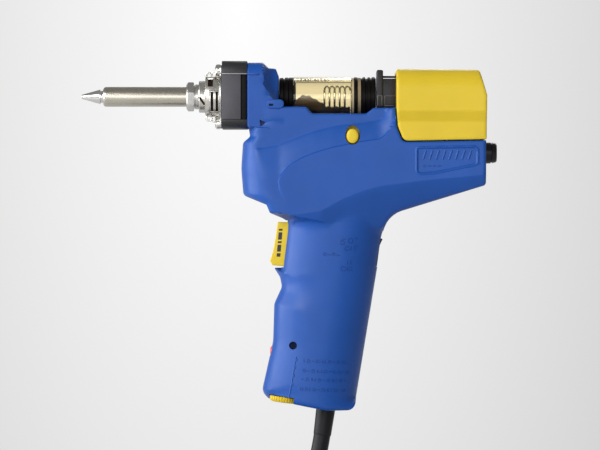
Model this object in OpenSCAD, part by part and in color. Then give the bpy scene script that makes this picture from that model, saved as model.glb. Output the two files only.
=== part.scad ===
// Desoldering gun with a built-in vacuum pump.
// The origin is the middle of the grip. -X points along the nozzle, +Z is up,
// and the XZ plane is the joint between the two halves of the housing.

/* [Housing] */
// Full width of the lower body
body_w = 44; // [42:1:46]
// Full width of the upper deck and the front section
deck_w = 35; // [34:1:37]
// Full width of the grip
grip_w = 37; // [36:1:39]
// Wall thickness of the housing
wall = 2.4; // [2:0.2:2.6]
// Lean of the grip from the vertical
grip_tilt = 7.7; // [7:0.1:8.4]

/* [Hot end] */
// Outside diameter of the steel barrel
barrel_d = 8.96; // [8.4:0.02:9.2]
// Outside diameter of the nozzle at its tip
nozzle_tip_d = 1.9; // [1.6:0.1:2.6]
// Diameter of the suction bore
nozzle_bore_d = 1.0; // [0.8:0.1:1.3]
// Height of the suction axis above the middle of the grip
axis_z = 98.5; // [98:0.1:99]

/* [Filter] */
// Outside diameter of the glass tube
tube_d = 18; // [17:0.2:18.2]
// Wall thickness of the glass
tube_wall = 1.6; // [1.2:0.1:2]
// Turns of the coil that catches solder
solder_turns = 5; // [3:1:7]

/* [Pump] */
// Full width of the upper part of the pump cover
cover_w = 50; // [48:1:52]
// Diameter of the motor
motor_d = 24; // [20:1:24]
// Throw of the crank pin
crank_throw = 1.5; // [1:0.1:1.5]
// Diameter of the motor shaft
shaft_d = 3; // [2.5:0.1:3]

/* [Controls] */
// Width of the trigger
trigger_w = 14; // [12:1:14]
// Diameter of the temperature wheel
wheel_d = 12.6; // [12:0.2:15.2]
// Diameter of the calibration hole
trim_hole_d = 3.6; // [3:0.1:4]

/* [Cord] */
// Diameter of the mains cord
cord_d = 7.6; // [7:0.1:7.6]
// Sides of the plain cord tube
cord_sides = 10; // [8:1:12]

/* [Hidden] */
$fn = 48;
eps = 0.01;

// Colours
body_blue = [0.16, 0.36, 0.68];
signal_yellow = [0.90, 0.80, 0.20];
dark_plastic = [0.12, 0.12, 0.14];
steel = [0.74, 0.73, 0.70];
pale_ceramic = [0.85, 0.79, 0.64];

// Side outline of the housing: [x, z, corner radius]
side_corners = [
    [-34.2, 113.5, 0.8], [-26.4, 113.5, 0.8], [-24.0, 111.1, 0.6], [-20.7, 110.9, 0.8],
    [-19.4, 107.3, 0], [-19.4, 93.6, 0], [-7.0, 93.6, 2], [-4.5, 90.5, 2],
    [19.8, 90.5, 2], [23.2, 93.1, 2], [33.0, 93.1, 0],
    [33.6, 84.6, 3], [36.2, 77.8, 3], [73.5, 78.5, 0.4],
    [73.5, 58.4, 1.6], [28.9, 44.7, 12],
    [14.6, -42.8, 4], [2.0, -42.9, 25], [-27.6, -37.0, 4.5],
    [-22.0, -12.0, 20], [-21.5, 5.0, 6], [-18.0, 12.6, 4], [-18.9, 17.0, 5], [-21.6, 21.2, 0.4],
    [-18.4, 21.2, 0], [-15.7, 42.4, 0],
    [-18.0, 43.7, 0.4], [-23.4, 45.9, 1.5], [-24.9, 49.6, 1.5], [-35.4, 53.9, 2.5],
    [-36.4, 66.0, 40], [-35.6, 77.6, 2.5], [-32.3, 80.3, 1.2], [-32.9, 83.9, 0],
    [-34.2, 83.9, 0]
];
// Everything below the thumb groove, where the body is at its widest
groove_corners = [
    [-40, 46.4], [80, 46.4], [80, 90], [36.4, 90], [33.5, 84], [26, 79.5],
    [12, 77.0], [-4, 73.0], [-12, 69.0], [-18, 62.5], [-24, 71.5], [-40, 75.5]
];
edge_step = 1.5;        // each step of the stepped body edge
edge_inset = 2.5;
deep_w = 24;            // width of the fillet between body and grip
grip_a = 22.3;          // half depth of the grip's oval section
grip_power = 2.3;       // squareness of the oval

// Screws that join the halves: [x, z, height of the head seat above the joint]
joint_screws = [
    [-29.5, 66, 19], [67, 64.5, 19], [43, 54.6, 19], [15, 8, 12.5], [-20.3, -24.5, 10]
];
screw_d = 2.9;
screw_hole_d = 3.1;
screw_head_d = 5.6;
screw_head_h = 2.4;
boss_d = 6;
pilot_depth = 10;

// Hot end stations along X
tip_x = -108.7;
cone_end_x = -100.2;
barrel_x = -98.6;
nut_x = -61.2;
collar_x = -55.6;
cage_x = -52.7;
block_x = -45;
gasket_x = -36.4;
housing_x = -34.2;
element_screw_z = 12;   // above and below the suction axis
pipe_r = 1.25;
shank_d = barrel_d - 1.5;       // root of the nozzle, inside the barrel
barrel_bore_d = barrel_d - 1.4;
neck_d = barrel_d - 0.4;        // barrel where the nut and the collar hold it
fit_gap = 0.04;

// Filter stations along X
seal_x = -19.3;
glass_x = -12.9;
glass_end_x = 13.4;
plate_x = 13.5;
pad_x = 16.2;
rear_seal_x = 17.6;
holder_x = 24.7;
holder_end_x = 38;

// Pump
motor_z = 62.8;
motor_x = 2;
motor_end_x = 38;
crank_x = 48;
pin_x = 51.5;
pin_d = 4;
pump_x = 55.5;
rod_top_z = 82.9;
base_z = 80.2;
diaphragm_z = 83.2;
chamber_z = 84.6;
valve_z = 91;
head_z = 92.2;
head_top_z = 102;
duct_x = 69.95;
duct_d = 3;
duct_z = 97;
head_screw_x = 6.5;
head_screw_y = 11;
exhaust_z = 73.2;

// Controls
pivot = [-12.5, 44.5];        // trigger pivot, x and z
button_at = [13.7, 80.6];     // release button, x and z
trim_at = [-13.0, -13.6];     // calibration hole, x and z
lamp_z = -16.6;
wheel_at = [-12.0, -9.2];     // wheel centre across the grip
wheel_low = -41.4;
wheel_h = 2.6;
wheel_crown = 0.9;            // how much the wheel narrows toward its lower face
window_half = 4.7;            // half width of the wheel's window
pot_low = -36;
pot_h = 5.8;
rocker_u = 18.9;
rocker_w = 33;
switch_w = 12;                // width of the switch's opening
bezel_low = 25;               // bezel across the grip's own height
bezel_high = 41;
bezel_face = 21.7;
cord_u = 7.5;
sleeve_top = -29;
sleeve_end = -54;

// Cord: it drops from the grip and is wound into a coil on the surface below
tie_gauge = 0.8;
surface_z = -138.3;
coil_at = [-40.4, 0];
coil_r = 45.7;
coil_thick = 23;
coil_h = 15.3;
coil_bottom = surface_z + tie_gauge;
lead_route = [
    [3.7, 0, -28.8], [1.8, 0, -42.8], [0.4, 0, -53], [-0.8, 0, -60], [-2.0, 0, -67],
    [-2.5, 1.4, -78], [-2.7, 4.6, -89], [-3.2, 8, -96], [-4.4, 12.2, -102.5],
    [-6.4, 17, -108.4], [-9.4, 22, -113.6], [-13.6, 27, -118], [-19.1, 31.5, -121.4],
    [-25.6, 35, -124], [-32.9, 37.3, -125.5]
];
tail_route = [
    [-40.4, -53.4, -133.7], [-30, -53.4, -133.9], [-21, -53, -133.5], [-12, -52, -132],
    [-3, -50.3, -129.7], [6, -48.6, -128.3], [16.8, -46.7, -128.3]
];
plug_at = [6, -48.6];
plug_turn = 10;
plug_w = 25;
plug_h = 20;
plug_len = 31;
relief_len = 20;
blade_gap = 12.7;
blade_z = 12.2;
ground_drop = 11.9;

// ---------- outlines ----------

function unit(v) = v / norm(v);

function corner_arc(a, b, c, r, n) =
    let (u = unit(a - b), v = unit(c - b), half = acos(u * v) / 2)
    let (mid = b + unit(u + v) * r / sin(half))
    let (p = b + u * r / tan(half) - mid, q = b + v * r / tan(half) - mid)
    let (start = atan2(p[1], p[0]), raw = atan2(q[1], q[0]) - start)
    let (turn = raw > 180 ? raw - 360 : raw < -180 ? raw + 360 : raw)
    [for (i = [0:n]) mid + r * [cos(start + turn * i / n), sin(start + turn * i / n)]];

function flat(p) = [p[0], p[1]];

function rounded(p, n = 5) = [
    for (i = [0:len(p) - 1])
        let (a = p[(i + len(p) - 1) % len(p)], b = p[i], c = p[(i + 1) % len(p)])
        each b[2] == 0 ? [flat(b)] : corner_arc(flat(a), flat(b), flat(c), b[2], n)
];

function oval(a, b, power, n = 40) = [
    for (i = [0:n - 1])
        let (c = cos(360 * i / n), s = sin(360 * i / n))
        [a * sign(c) * pow(abs(c), 2 / power), b * sign(s) * pow(abs(s), 2 / power)]
];

// ---------- placing ----------

// A flat outline in X and Z, thickened from y0 to y1
module band(y0, y1) translate([0, y1, 0]) rotate([90, 0, 0]) linear_extrude(y1 - y0) children();

// A flat outline in Y and Z, thickened from x0 to x1
module along(x0, x1) translate([x0, 0, 0]) rotate([90, 0, 90]) linear_extrude(x1 - x0) children();

module rod_x(x0, x1, d, z = axis_z, y = 0)
    translate([x0, y, z]) rotate([0, 90, 0]) cylinder(h = x1 - x0, d = d);

module cone_x(x0, x1, d0, d1, z = axis_z)
    translate([x0, 0, z]) rotate([0, 90, 0]) cylinder(h = x1 - x0, d1 = d0, d2 = d1);

module ring_x(x0, x1, outer, inner, z = axis_z) difference() {
    rod_x(x0, x1, outer, z);
    rod_x(x0 - 1, x1 + 1, inner, z);
}

module rod_y(y0, y1, d, x, z)
    translate([x, y0, z]) rotate([-90, 0, 0]) cylinder(h = y1 - y0, d = d);

module block(low, high) translate(low) cube(high - low);

// The grip's own frame: x across, z along the leaning grip
module in_grip() rotate([0, grip_tilt, 0]) children();

// ---------- swept wires and cords ----------

function tangent(p, i) = unit(p[min(i + 1, len(p) - 1)] - p[max(i - 1, 0)]);

function carried(p, n, i = 0) =
    i == len(p) ? [] :
    let (t = tangent(p, i), m = unit(n - t * (n * t)))
    concat([m], carried(p, m, i + 1));

module sweep(p, r, sides, first) {
    normals = carried(p, first);
    points = [
        for (i = [0:len(p) - 1])
            let (n = normals[i], b = cross(tangent(p, i), n))
            for (k = [0:sides - 1])
                p[i] + r * (cos(360 * k / sides) * n + sin(360 * k / sides) * b)
    ];
    walls = [
        for (i = [0:len(p) - 2])
            for (k = [0:sides - 1])
                let (a = i * sides + k, b = i * sides + (k + 1) % sides)
                each [[a, a + sides, b], [b, a + sides, b + sides]]
    ];
    last = (len(p) - 1) * sides;
    ends = [[for (k = [0:sides - 1]) k], [for (k = [sides - 1:-1:0]) last + k]];
    polyhedron(points, concat(walls, ends), convexity = 6);
}

function helix(r, length, turns, steps = 12) = [
    for (i = [0:turns * steps])
        [r * cos(360 * i / steps), r * sin(360 * i / steps), length * i / (turns * steps)]
];

module coil_spring(r, wire_d, length, turns)
    sweep(helix(r, length, turns), wire_d / 2, 6, [1, 0, 0]);

// ---------- hot end ----------

module nozzle() color(steel) difference() {
    union() {
        cone_x(tip_x, cone_end_x, nozzle_tip_d, 6.5);
        rod_x(cone_end_x - eps, barrel_x + eps, 6.5);
        rod_x(barrel_x, -92, shank_d);
    }
    rod_x(tip_x - 1, -102.7, nozzle_bore_d);
    rod_x(-102.7, -91, 2 * pipe_r + 0.1);
}

module barrel() color(steel) difference() {
    union() {
        cone_x(barrel_x, barrel_x + 0.8, barrel_d - 1.2, barrel_d);
        rod_x(barrel_x + 0.8 - eps, nut_x, barrel_d);
        rod_x(nut_x - eps, -53.5, neck_d);
    }
    rod_x(barrel_x - 1, -50, barrel_bore_d);
}

module heating_element() color("white") ring_x(-91.8, -30, 6.8, 2 * pipe_r + 0.2);

module vacuum_pipe() color(steel) ring_x(-102.6, -14.5, 2 * pipe_r, 1.6);

module barrel_nut() color(steel) difference() {
    union() {
        cone_x(nut_x, nut_x + 0.9, 11.4, 13.6, $fn = 6);
        translate([nut_x + 0.9, 0, axis_z]) rotate([0, 90, 0]) cylinder(h = 2.7, d = 13.8, $fn = 6);
        rod_x(nut_x + 3.5, collar_x + 0.02, 11.3);
    }
    rod_x(nut_x - 1, collar_x + 1, neck_d + fit_gap);
}

module clamp_collar() color(steel) difference() {
    rod_x(collar_x + 0.05, cage_x - 0.05, 14.4);
    rod_x(collar_x - 1, cage_x + 1, neck_d + fit_gap);
    translate([collar_x + 1.4, -9, axis_z - 3]) rotate([0, 35, 0])
        cube([1.1, 7, 9], center = true);
}

module element_cover() color(steel) difference() {
    union() {
        rod_x(cage_x, block_x - 0.7, 18.6);
        band(-4, 4) polygon(rounded([
            [block_x - 1.1, axis_z - 14.4, 0.3], [block_x - 0.1, axis_z - 14.4, 0.3],
            [block_x - 0.1, axis_z + 14.4, 0.3], [block_x - 1.1, axis_z + 14.4, 0.3]
        ]));
        rod_x(block_x - 1.1, block_x - 0.1, 21);
    }
    rod_x(cage_x + 0.8, block_x + 1, 17);
    rod_x(cage_x - 1, block_x, 12.2);
    for (side = [-1, 1]) {
        // small and large window of each cheek
        block([-51.3, side * 8 - 4, 102.9], [-48.7, side * 8 + 4, 106.9]);
        block([-50.0, side * 8 - 4, 93.6], [-47.0, side * 8 + 4, 101.4]);
        rod_x(block_x - 3, block_x + 1, screw_hole_d, axis_z + side * element_screw_z);
    }
}

module element_screws() color(steel)
    for (side = [-1, 1]) {
        rod_x(block_x - 3.3, block_x - 1.15, 5.4, axis_z + side * element_screw_z);
        rod_x(block_x - 1.2, -29, screw_d, axis_z + side * element_screw_z);
    }

module block_section(inset) polygon(rounded([
    [-deck_w / 2 + inset, 83.9 + inset, 6], [deck_w / 2 - inset, 83.9 + inset, 6],
    [deck_w / 2 - inset, 114.3 - inset, 6], [-deck_w / 2 + inset, 114.3 - inset, 6]
]));

module block_holes(x0, x1) {
    rod_x(x0, x1, 9);
    for (side = [-1, 1]) rod_x(x0, x1, screw_hole_d, axis_z + side * element_screw_z);
}

module front_block() color(dark_plastic) difference() {
    union() {
        along(block_x, gasket_x) block_section(0);
        // narrow ledge along each cheek
        for (side = [-1, 1])
            block([block_x, side * deck_w / 2 - 0.5, 108.1], [gasket_x, side * deck_w / 2 + 0.5, 108.8]);
    }
    block_holes(block_x - 1, gasket_x + 1);
}

module heat_gasket() color("black") difference() {
    along(gasket_x + 0.02, housing_x - 0.02) block_section(0.9);
    block_holes(gasket_x - 1, housing_x + 1);
}

// ---------- filter cartridge ----------

module front_seal() color("black") difference() {
    union() {
        rod_x(seal_x, seal_x + 3.2, 15.6);
        rod_x(seal_x + 3, glass_x - 0.02, 17.6);
    }
    rod_x(seal_x - 1, glass_x + 1, 2 * pipe_r + 0.1);
}

module filter_tube() color([0.86, 0.72, 0.35, 0.4])
    ring_x(glass_x, glass_end_x, tube_d, tube_d - 2 * tube_wall);

module solder_spring() color("silver") translate([0.8, 0, axis_z]) rotate([0, 90, 0])
    coil_spring(5.2, 0.9, 11.4, solder_turns);

module baffle_plate() color(pale_ceramic) difference() {
    rod_x(plate_x, plate_x + 1.7, 17.2);
    for (i = [0:5])
        translate([plate_x - 1, 0, axis_z]) rotate([60 * i, 0, 0]) translate([0, 4.4, 0])
            rotate([0, 90, 0]) cylinder(h = 4, d = 2.2);
}

module filter_pad() color(pale_ceramic) rod_x(pad_x, rear_seal_x - 0.02, 17.2);

module rear_seal() color("black") difference() {
    union() {
        ring_x(plate_x + 1.75, pad_x - 0.02, 17.8, 14);
        rod_x(rear_seal_x, 24.4, 16.6);
        for (i = [0:2]) rod_x(18.4 + 2.2 * i, 19.6 + 2.2 * i, 18);
    }
    rod_x(rear_seal_x - 1, 25, 4);
}

module back_holder() color(dark_plastic) difference() {
    union() {
        band(-9, 9) polygon(rounded([
            [holder_x, 93.5, 0.6], [27.6, 93.5, 0.6], [27.6, 110.4, 0.6], [holder_x, 110.4, 0.6]
        ]));
        band(-8.2, 8.2) polygon(rounded([
            [27, 93.5, 0], [holder_end_x, 93.5, 0.5], [holder_end_x, 106.5, 1.5], [27, 106.5, 0]
        ]));
        block([27, -3, 107.1], [36, 3, 107.9]);
        block([35.8, -10, 81], [holder_end_x, -6.2, 96]);
        translate([0, 0, 81]) linear_extrude(4)
            polygon([[17.5, -9.6], [36.5, -9.6], [36.5, -6.2], [10.7, -6.2]]);
    }
    rod_x(holder_x - 1, holder_end_x + 1, 4);
    // relief beside the ledge line of the lower half
    for (side = [-1, 1])
        block([28.4, side * 9 - 1.4, 95], [34, side * 9 + 1.4, 99.6]);
}

module holder_spring() color("silver") translate([holder_end_x + 0.6, 0, axis_z]) rotate([0, 90, 0])
    coil_spring(5.4, 0.9, 7.6, 3);

module vacuum_hose() color("gray") difference() {
    union() {
        rod_x(holder_end_x + 0.05, 46.9, 5.4);
        for (i = [0:3]) rod_x(39 + 2 * i, 40 + 2 * i, 6.8);
    }
    rod_x(holder_end_x - 1, 48, 3.6);
}

module release_button() color(signal_yellow) {
    band(-21.2, -12) polygon(oval(2.7, 3.7, 2, 28) + [for (i = [0:27]) button_at]);
    band(-15, -13.6) polygon(oval(4.2, 5.2, 2, 28) + [for (i = [0:27]) button_at]);
    translate([0, 0, 81.4]) linear_extrude(3)
        polygon([[10, -12.5], [17, -12.5], [17, -9.6], [10, -6.1]]);
}

module release_spring() color("silver") translate([12.8, -11.7, 79.2]) rotate([-90, 0, 0])
    coil_spring(1.5, 0.5, 8, 5);

// ---------- housing ----------

module outline(inset) offset(delta = -inset) polygon(rounded(side_corners));

module lower_outline(inset) offset(delta = -inset) intersection() {
    polygon(rounded(side_corners));
    polygon(groove_corners);
}

module clip(low, high) intersection() {
    children();
    translate([-60, low]) square([160, high - low]);
}

module grip_prism(inset) in_grip() translate([0, 0, -60]) linear_extrude(118)
    polygon(oval(grip_a - inset, grip_w / 2 - inset, grip_power));

// One half of the body as a solid, from the joint plane outwards
module half_solid(inset, start) {
    band(start, deep_w / 2 - inset) clip(34, 130) outline(inset);
    band(start, deck_w / 2 - inset) clip(45.5, 130) outline(inset);
    band(start, body_w / 2 - edge_step - inset) lower_outline(inset);
    band(start, body_w / 2 - inset) lower_outline(inset + edge_inset);
    intersection() {
        band(start, grip_w / 2) clip(-60, 58) outline(inset);
        grip_prism(inset);
    }
}

module motor_rib(x) along(x, x + 2) difference() {
    translate([0.5, 52]) square([body_w / 2 - 2, 21]);
    translate([0, motor_z]) circle(d = motor_d + 0.4);
}

module half_shell() difference() {
    union() {
        difference() {
            half_solid(0, 0);
            half_solid(wall, -1);
        }
        for (s = joint_screws) rod_y(0, s[2] + 1.5, boss_d, s[0], s[1]);
        rod_y(8, grip_w / 2 - 1.6, boss_d, pivot[0], pivot[1]);
        motor_rib(8);
        motor_rib(28);
    }
    // seat of the filter cartridge and the holes in the front section
    rod_x(-19.5, 40, 18.8);
    block_holes(housing_x - 1, -19);
    // trigger slot and pivot
    band(-1, trigger_w / 2 + 0.3) polygon([
        [-26, 21.3], [-13, 21.3], [-8, 26], [-8, 48.5], [-15.5, 48.5], [-15.9, 42.3], [-26, 42.3]
    ]);
    rod_y(-1, 12, 2.54, pivot[0], pivot[1]);
    // lamp, power switch, wheel and cord
    rod_x(-26, -16, 5, lamp_z);
    in_grip() block([18.2, -1, bezel_low - 0.2], [26, switch_w / 2, bezel_high + 0.2]);
    in_grip() translate([cord_u, 0, -50]) cylinder(h = 11, d = 9);
    // exhaust and connecting rod
    rod_x(70, 75, 5.8, exhaust_z);
    translate([duct_x, 0, 70]) cylinder(h = 12, d = duct_d + 0.4);
    translate([pump_x, 0, 70]) cylinder(h = 12, d = 17);
}

// Round pocket of the wheel, open below and through a window in the left side
module wheel_pocket() in_grip() translate([wheel_at[0], -wheel_at[1], wheel_low - 10]) {
    cylinder(h = 10 + wheel_h + 0.3, d = wheel_d + 0.8);
    translate([-window_half, 0, 0]) cube([2 * window_half, 20, 10 + wheel_h + 0.3]);
}

module housing_left() color(body_blue) mirror([0, 1, 0]) difference() {
    union() {
        half_shell();
        // guide for the release slide
        block([4, 1.3, 77.8], [24, 3.3, 88.6]);
        // lug beside the front seal
        band(14, 18.6) polygon(rounded([
            [-25, 92.8, 1.9], [-16.9, 92.8, 1.9], [-16.9, 96.8, 1.9], [-25, 96.8, 1.9]
        ]));
    }
    for (s = joint_screws) rod_y(-1, pilot_depth, screw_d + 0.1, s[0], s[1]);
    band(10, 30) polygon(oval(3.3, 4.1, 2, 28) + [for (i = [0:27]) button_at]);
    rod_y(8, 30, trim_hole_d, trim_at[0], trim_at[1]);
    block([28, 5.7, 80.4], [40, 10.6, 85.6]);
    wheel_pocket();
    block([-23.8, 17.4, 94.1], [-21.6, 20, 94.9]);
}

module housing_right() color(body_blue) difference() {
    half_shell();
    for (s = joint_screws) {
        rod_y(-1, 30, screw_hole_d, s[0], s[1]);
        rod_y(s[2], 30, screw_head_d + 0.6, s[0], s[1]);
    }
}

module housing_screws() color(steel)
    for (s = joint_screws) difference() {
        union() {
            rod_y(0.5 - pilot_depth, s[2] + eps, screw_d, s[0], s[1]);
            rod_y(s[2], s[2] + screw_head_h, screw_head_d, s[0], s[1]);
        }
        // cross recess
        for (turn = [0, 90]) translate([s[0], s[2] + screw_head_h, s[1]]) rotate([0, turn, 0])
            cube([3.4, 2.2, 0.8], center = true);
    }

module cover_side(inset) offset(delta = -inset) polygon(rounded([
    [33.35, 93.4, 0], [33.4, 110.5, 1.2], [70.5, 110.1, 1.5], [73.8, 98.6, 1.2],
    [73.7, 78.9, 0.4], [36.6, 78.15, 3], [33.95, 84.8, 3]
]));

module cover_section(inset) offset(delta = -inset) polygon(rounded([
    [-22.3, 70, 0], [22.3, 70, 0], [22.3, 86.9, 0.6], [cover_w / 2, 91.4, 0.6],
    [cover_w / 2, 110.7, 9], [-cover_w / 2, 110.7, 9], [-cover_w / 2, 91.4, 0.6], [-22.3, 86.9, 0.6]
]));

module pump_cover() color(signal_yellow) difference() {
    intersection() {
        band(-30, 30) cover_side(0);
        along(30, 80) cover_section(0);
    }
    intersection() {
        band(-30, 30) union() {
            cover_side(2);
            translate([37, 70]) square([34.5, 20]);
        }
        along(30, 80) cover_section(2);
    }
    // opening for the holder, with room for its release leg
    block([30, -9.6, 90], [37, 9.6, 108.4]);
    block([30, -11, 77], [40, -5.6, 96]);
    for (side = [-1, 1]) {
        rod_x(70, 75, screw_hole_d, 90, 14 * side);
        translate([73.76, 14 * side, 90]) rotate([0, -90, 0]) cylinder(h = 1.6, d1 = 6, d2 = 3);
    }
}

module cover_screws() color(steel)
    for (side = [-1, 1]) difference() {
        union() {
            rod_x(66, 73, 2.4, 90, 14 * side);
            translate([73.6, 14 * side, 90]) rotate([0, -90, 0]) cylinder(h = 1.6, d1 = 5.6, d2 = 2.4);
        }
        for (turn = [0, 90]) translate([73.6, 14 * side, 90]) rotate([turn, 0, 0])
            cube([1.6, 3, 0.7], center = true);
    }

module exhaust_cap() color(dark_plastic) difference() {
    union() {
        cone_x(73.6, 78.4, 9.9, 8, exhaust_z);
        rod_x(67.5, 74, 5.6, exhaust_z);
    }
    rod_x(65, 76, 4.4, exhaust_z);
    translate([duct_x, 0, exhaust_z]) cylinder(h = 5, d = duct_d - 1);
    for (i = [0:4]) translate([77, 0, exhaust_z]) rotate([72 * i, 0, 0]) translate([0, 2, 0])
        cube([6, 1, 1], center = true);
}

module exhaust_filter() color("white") rod_x(68, 75.5, 4.3, exhaust_z);

module duct_run(d) {
    rod_x(62, duct_x, d, duct_z);
    translate([duct_x, 0, duct_z]) sphere(d = d);
    translate([duct_x, 0, exhaust_z + 2.95]) cylinder(h = duct_z - exhaust_z - 2.95, d = d);
}

module exhaust_duct() color("gray") difference() {
    duct_run(duct_d);
    duct_run(duct_d - 1);
    rod_x(61, 67, duct_d - 1, duct_z);
    translate([duct_x, 0, exhaust_z]) cylinder(h = 6, d = duct_d - 1);
}

// ---------- pump ----------

module motor() color("silver") difference() {
    union() {
        rod_x(motor_x, motor_end_x, motor_d, motor_z);
        rod_x(motor_end_x - eps, motor_end_x + 2, 9, motor_z);
        rod_x(motor_x - 1.6, motor_x + eps, 8, motor_z);
    }
    rod_x(motor_x + 2, motor_end_x + 3, shaft_d + 0.08, motor_z);
}

module motor_shaft() color(steel) rod_x(motor_x + 2.5, pin_x - 0.1, shaft_d, motor_z);

module crank() color("goldenrod") difference() {
    union() {
        rod_x(crank_x, pin_x, 13, motor_z);
        rod_x(pin_x - eps, 59, pin_d, motor_z + crank_throw);
    }
    rod_x(crank_x - 1, pin_x - 0.08, shaft_d + 0.02, motor_z);
}

module connecting_rod() color("ivory") difference() {
    union() {
        rod_x(53, 58, 9, motor_z + crank_throw);
        block([54, -2, motor_z + 4.5], [57, 2, rod_top_z - 1]);
        translate([pump_x, 0, rod_top_z - 1.4]) cylinder(h = 1.4, d = 9);
    }
    rod_x(52, 60, pin_d + 0.08, motor_z + crank_throw);
}

module head_screw_holes(z0, z1, d)
    for (sx = [-1, 1]) for (sy = [-1, 1])
        translate([pump_x + sx * head_screw_x, sy * head_screw_y, z0]) cylinder(h = z1 - z0, d = d);

module pump_base() color(dark_plastic) difference() {
    union() {
        block([44.5, -17, base_z], [68.3, 17, diaphragm_z - 0.02]);
        for (x = [47, 65]) for (side = [-1, 1])
            translate([x, 14 * side, 78.7]) cylinder(h = 2, d = 5);
        for (side = [-1, 1]) block([66, 14 * side - 3, base_z], [68.3, 14 * side + 3, 94]);
    }
    translate([pump_x, 0, 70]) cylinder(h = 20, d = 17);
    head_screw_holes(70, 90, screw_hole_d);
    for (side = [-1, 1]) rod_x(60, 70, 2.6, 90, 14 * side);
}

module diaphragm() color("black") translate([pump_x, 0, diaphragm_z]) cylinder(h = 1.38, d = 22);

module pump_chamber() color("ivory") difference() {
    block([46, -14, chamber_z], [65, 14, valve_z - 0.02]);
    translate([pump_x, 0, chamber_z - 1]) cylinder(h = 3, d = 17);
    for (side = [-1, 1]) translate([pump_x, 4 * side, chamber_z]) cylinder(h = 10, d = 2.5);
    head_screw_holes(80, 95, screw_hole_d);
}

module valve_plate() color("black") difference() {
    block([46, -14, valve_z], [65, 14, head_z - 0.02]);
    for (side = [-1, 1]) translate([pump_x, 4 * side, valve_z - 1]) cylinder(h = 4, d = 1.6);
    head_screw_holes(80, 95, screw_hole_d);
}

module pump_head() color("ivory") difference() {
    union() {
        block([47, -13.5, head_z], [64, 13.5, head_top_z]);
        for (i = [0:3]) block([49 + 4 * i, -13.5, head_top_z - eps], [50.2 + 4 * i, 13.5, head_top_z + 2]);
    }
    rod_x(46, 55, 3, axis_z);
    rod_x(56, 65, duct_d + 0.04, duct_z);
    translate([pump_x, -4, head_z - 1]) cylinder(h = 6, d = 2.5);
    translate([pump_x, 4, head_z - 1]) cylinder(h = 6, d = 2.5);
    head_screw_holes(80, 120, screw_hole_d);
}

module pump_head_screws() color(steel) {
    head_screw_holes(base_z + 0.4, head_top_z + 2.05, screw_d - 0.1);
    head_screw_holes(head_top_z + 2.02, head_top_z + 4, screw_head_d - 0.4);
}

// ---------- grip controls ----------

module trigger() color(signal_yellow) difference() {
    union() {
        band(-trigger_w / 2, trigger_w / 2) polygon(rounded([
            [-19.9, 41.9, 0.5], [-21.0, 34.3, 8], [-22.1, 28.4, 4], [-23.4, 24.4, 0.7],
            [-22.5, 22.6, 0.6], [-14.2, 22.6, 0.6], [-12.6, 25, 0.6], [-12.6, 40, 0],
            [-10.9, 43, 0], [-14.6, 43, 0], [-15.8, 41.8, 0.4]
        ]));
        rod_y(-trigger_w / 2, trigger_w / 2, 5.2, pivot[0], pivot[1]);
    }
    rod_y(-20, 20, 2.6, pivot[0], pivot[1]);
}

module trigger_pin() color(steel) rod_y(-11.8, 11.8, 2.5, pivot[0], pivot[1]);

module trigger_spring() color("silver") translate([-12.4, 0, 30]) rotate([0, 90, 0])
    coil_spring(1.7, 0.5, 3.1, 3);

module trigger_switch() color(dark_plastic) {
    block([-9, -5, 26], [1, 5, 40]);
    rod_x(-11.2, -9 + eps, 2, 37.5);
    for (i = [0:2]) block([1 - eps, -1.2, 28 + 4.4 * i], [4, 1.2, 28.6 + 4.4 * i]);
}

module rocker_place(turn) in_grip() translate([rocker_u, 0, rocker_w]) rotate([0, turn, 0]) children();

module power_rocker() color("black") rocker_place(8) difference() {
    band(-4.2, 4.2) polygon([
        [-2, -2.2], [1.6, -5.1], [3.1, -5.1], [2.3, 0], [3.1, 5.1], [1.6, 5.1], [-2, 2.2]
    ]);
    rod_y(-6, 6, 1.6, 0, 0);
}

module power_switch() color(dark_plastic) in_grip() {
    difference() {
        union() {
            block([7, 0.8 - switch_w / 2, 26], [bezel_face - 0.2, switch_w / 2 - 0.8, 40]);
            block([19.2, 0.2 - switch_w / 2, bezel_low], [bezel_face, switch_w / 2 - 0.2, bezel_high]);
        }
        block([14, -4.4, 26.9], [23, 4.4, 39.1]);
    }
    rod_y(-4.8, 4.8, 1.5, rocker_u, rocker_w);
    for (i = [0:1]) block([4, -1.5, 29 + 7 * i], [7 + eps, 1.5, 29.8 + 7 * i]);
}

module circuit_board() color("darkgreen") in_grip() block([-12.9, 2, -28], [10, 3.6, 21]);

module board_parts() color("dimgray") in_grip() {
    translate([2, 3.62, 8]) rotate([-90, 0, 0]) cylinder(h = 8, d = 10);
    block([-9, 3.62, -4], [-3, 6.2, 4]);
    block([2, 3.62, -12], [8, 9, -3]);
    for (i = [0:4]) block([-10 + 3.4 * i, 3.62, -22], [-8.4 + 3.4 * i, 5, -18.5]);
}

module trimmer() color("royalblue") in_grip() difference() {
    union() {
        block([-13.4, -1.6, -18.2], [-8.1, 1.98, -12.3]);
        translate([-11.06, -2.4, -15.2]) rotate([-90, 0, 0]) cylinder(h = 1, d = 4);
    }
    block([-12.6, -3, -15.6], [-9.5, -1.9, -14.8]);
}

module temperature_wheel() color(signal_yellow) in_grip() translate([wheel_at[0], wheel_at[1], 0])
    difference() {
        union() {
            translate([0, 0, wheel_low]) cylinder(h = wheel_crown, d1 = wheel_d - 2.4, d2 = wheel_d);
            translate([0, 0, wheel_low + wheel_crown - eps])
                cylinder(h = wheel_h - wheel_crown + eps, d = wheel_d);
            translate([0, 0, wheel_low + eps]) cylinder(h = 9.5, d = 3);
        }
        for (i = [0:29]) rotate(12 * i) translate([wheel_d / 2 + 0.15, 0, wheel_low + 2])
            cube([0.9, 0.7, wheel_h + 2], center = true);
    }

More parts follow.
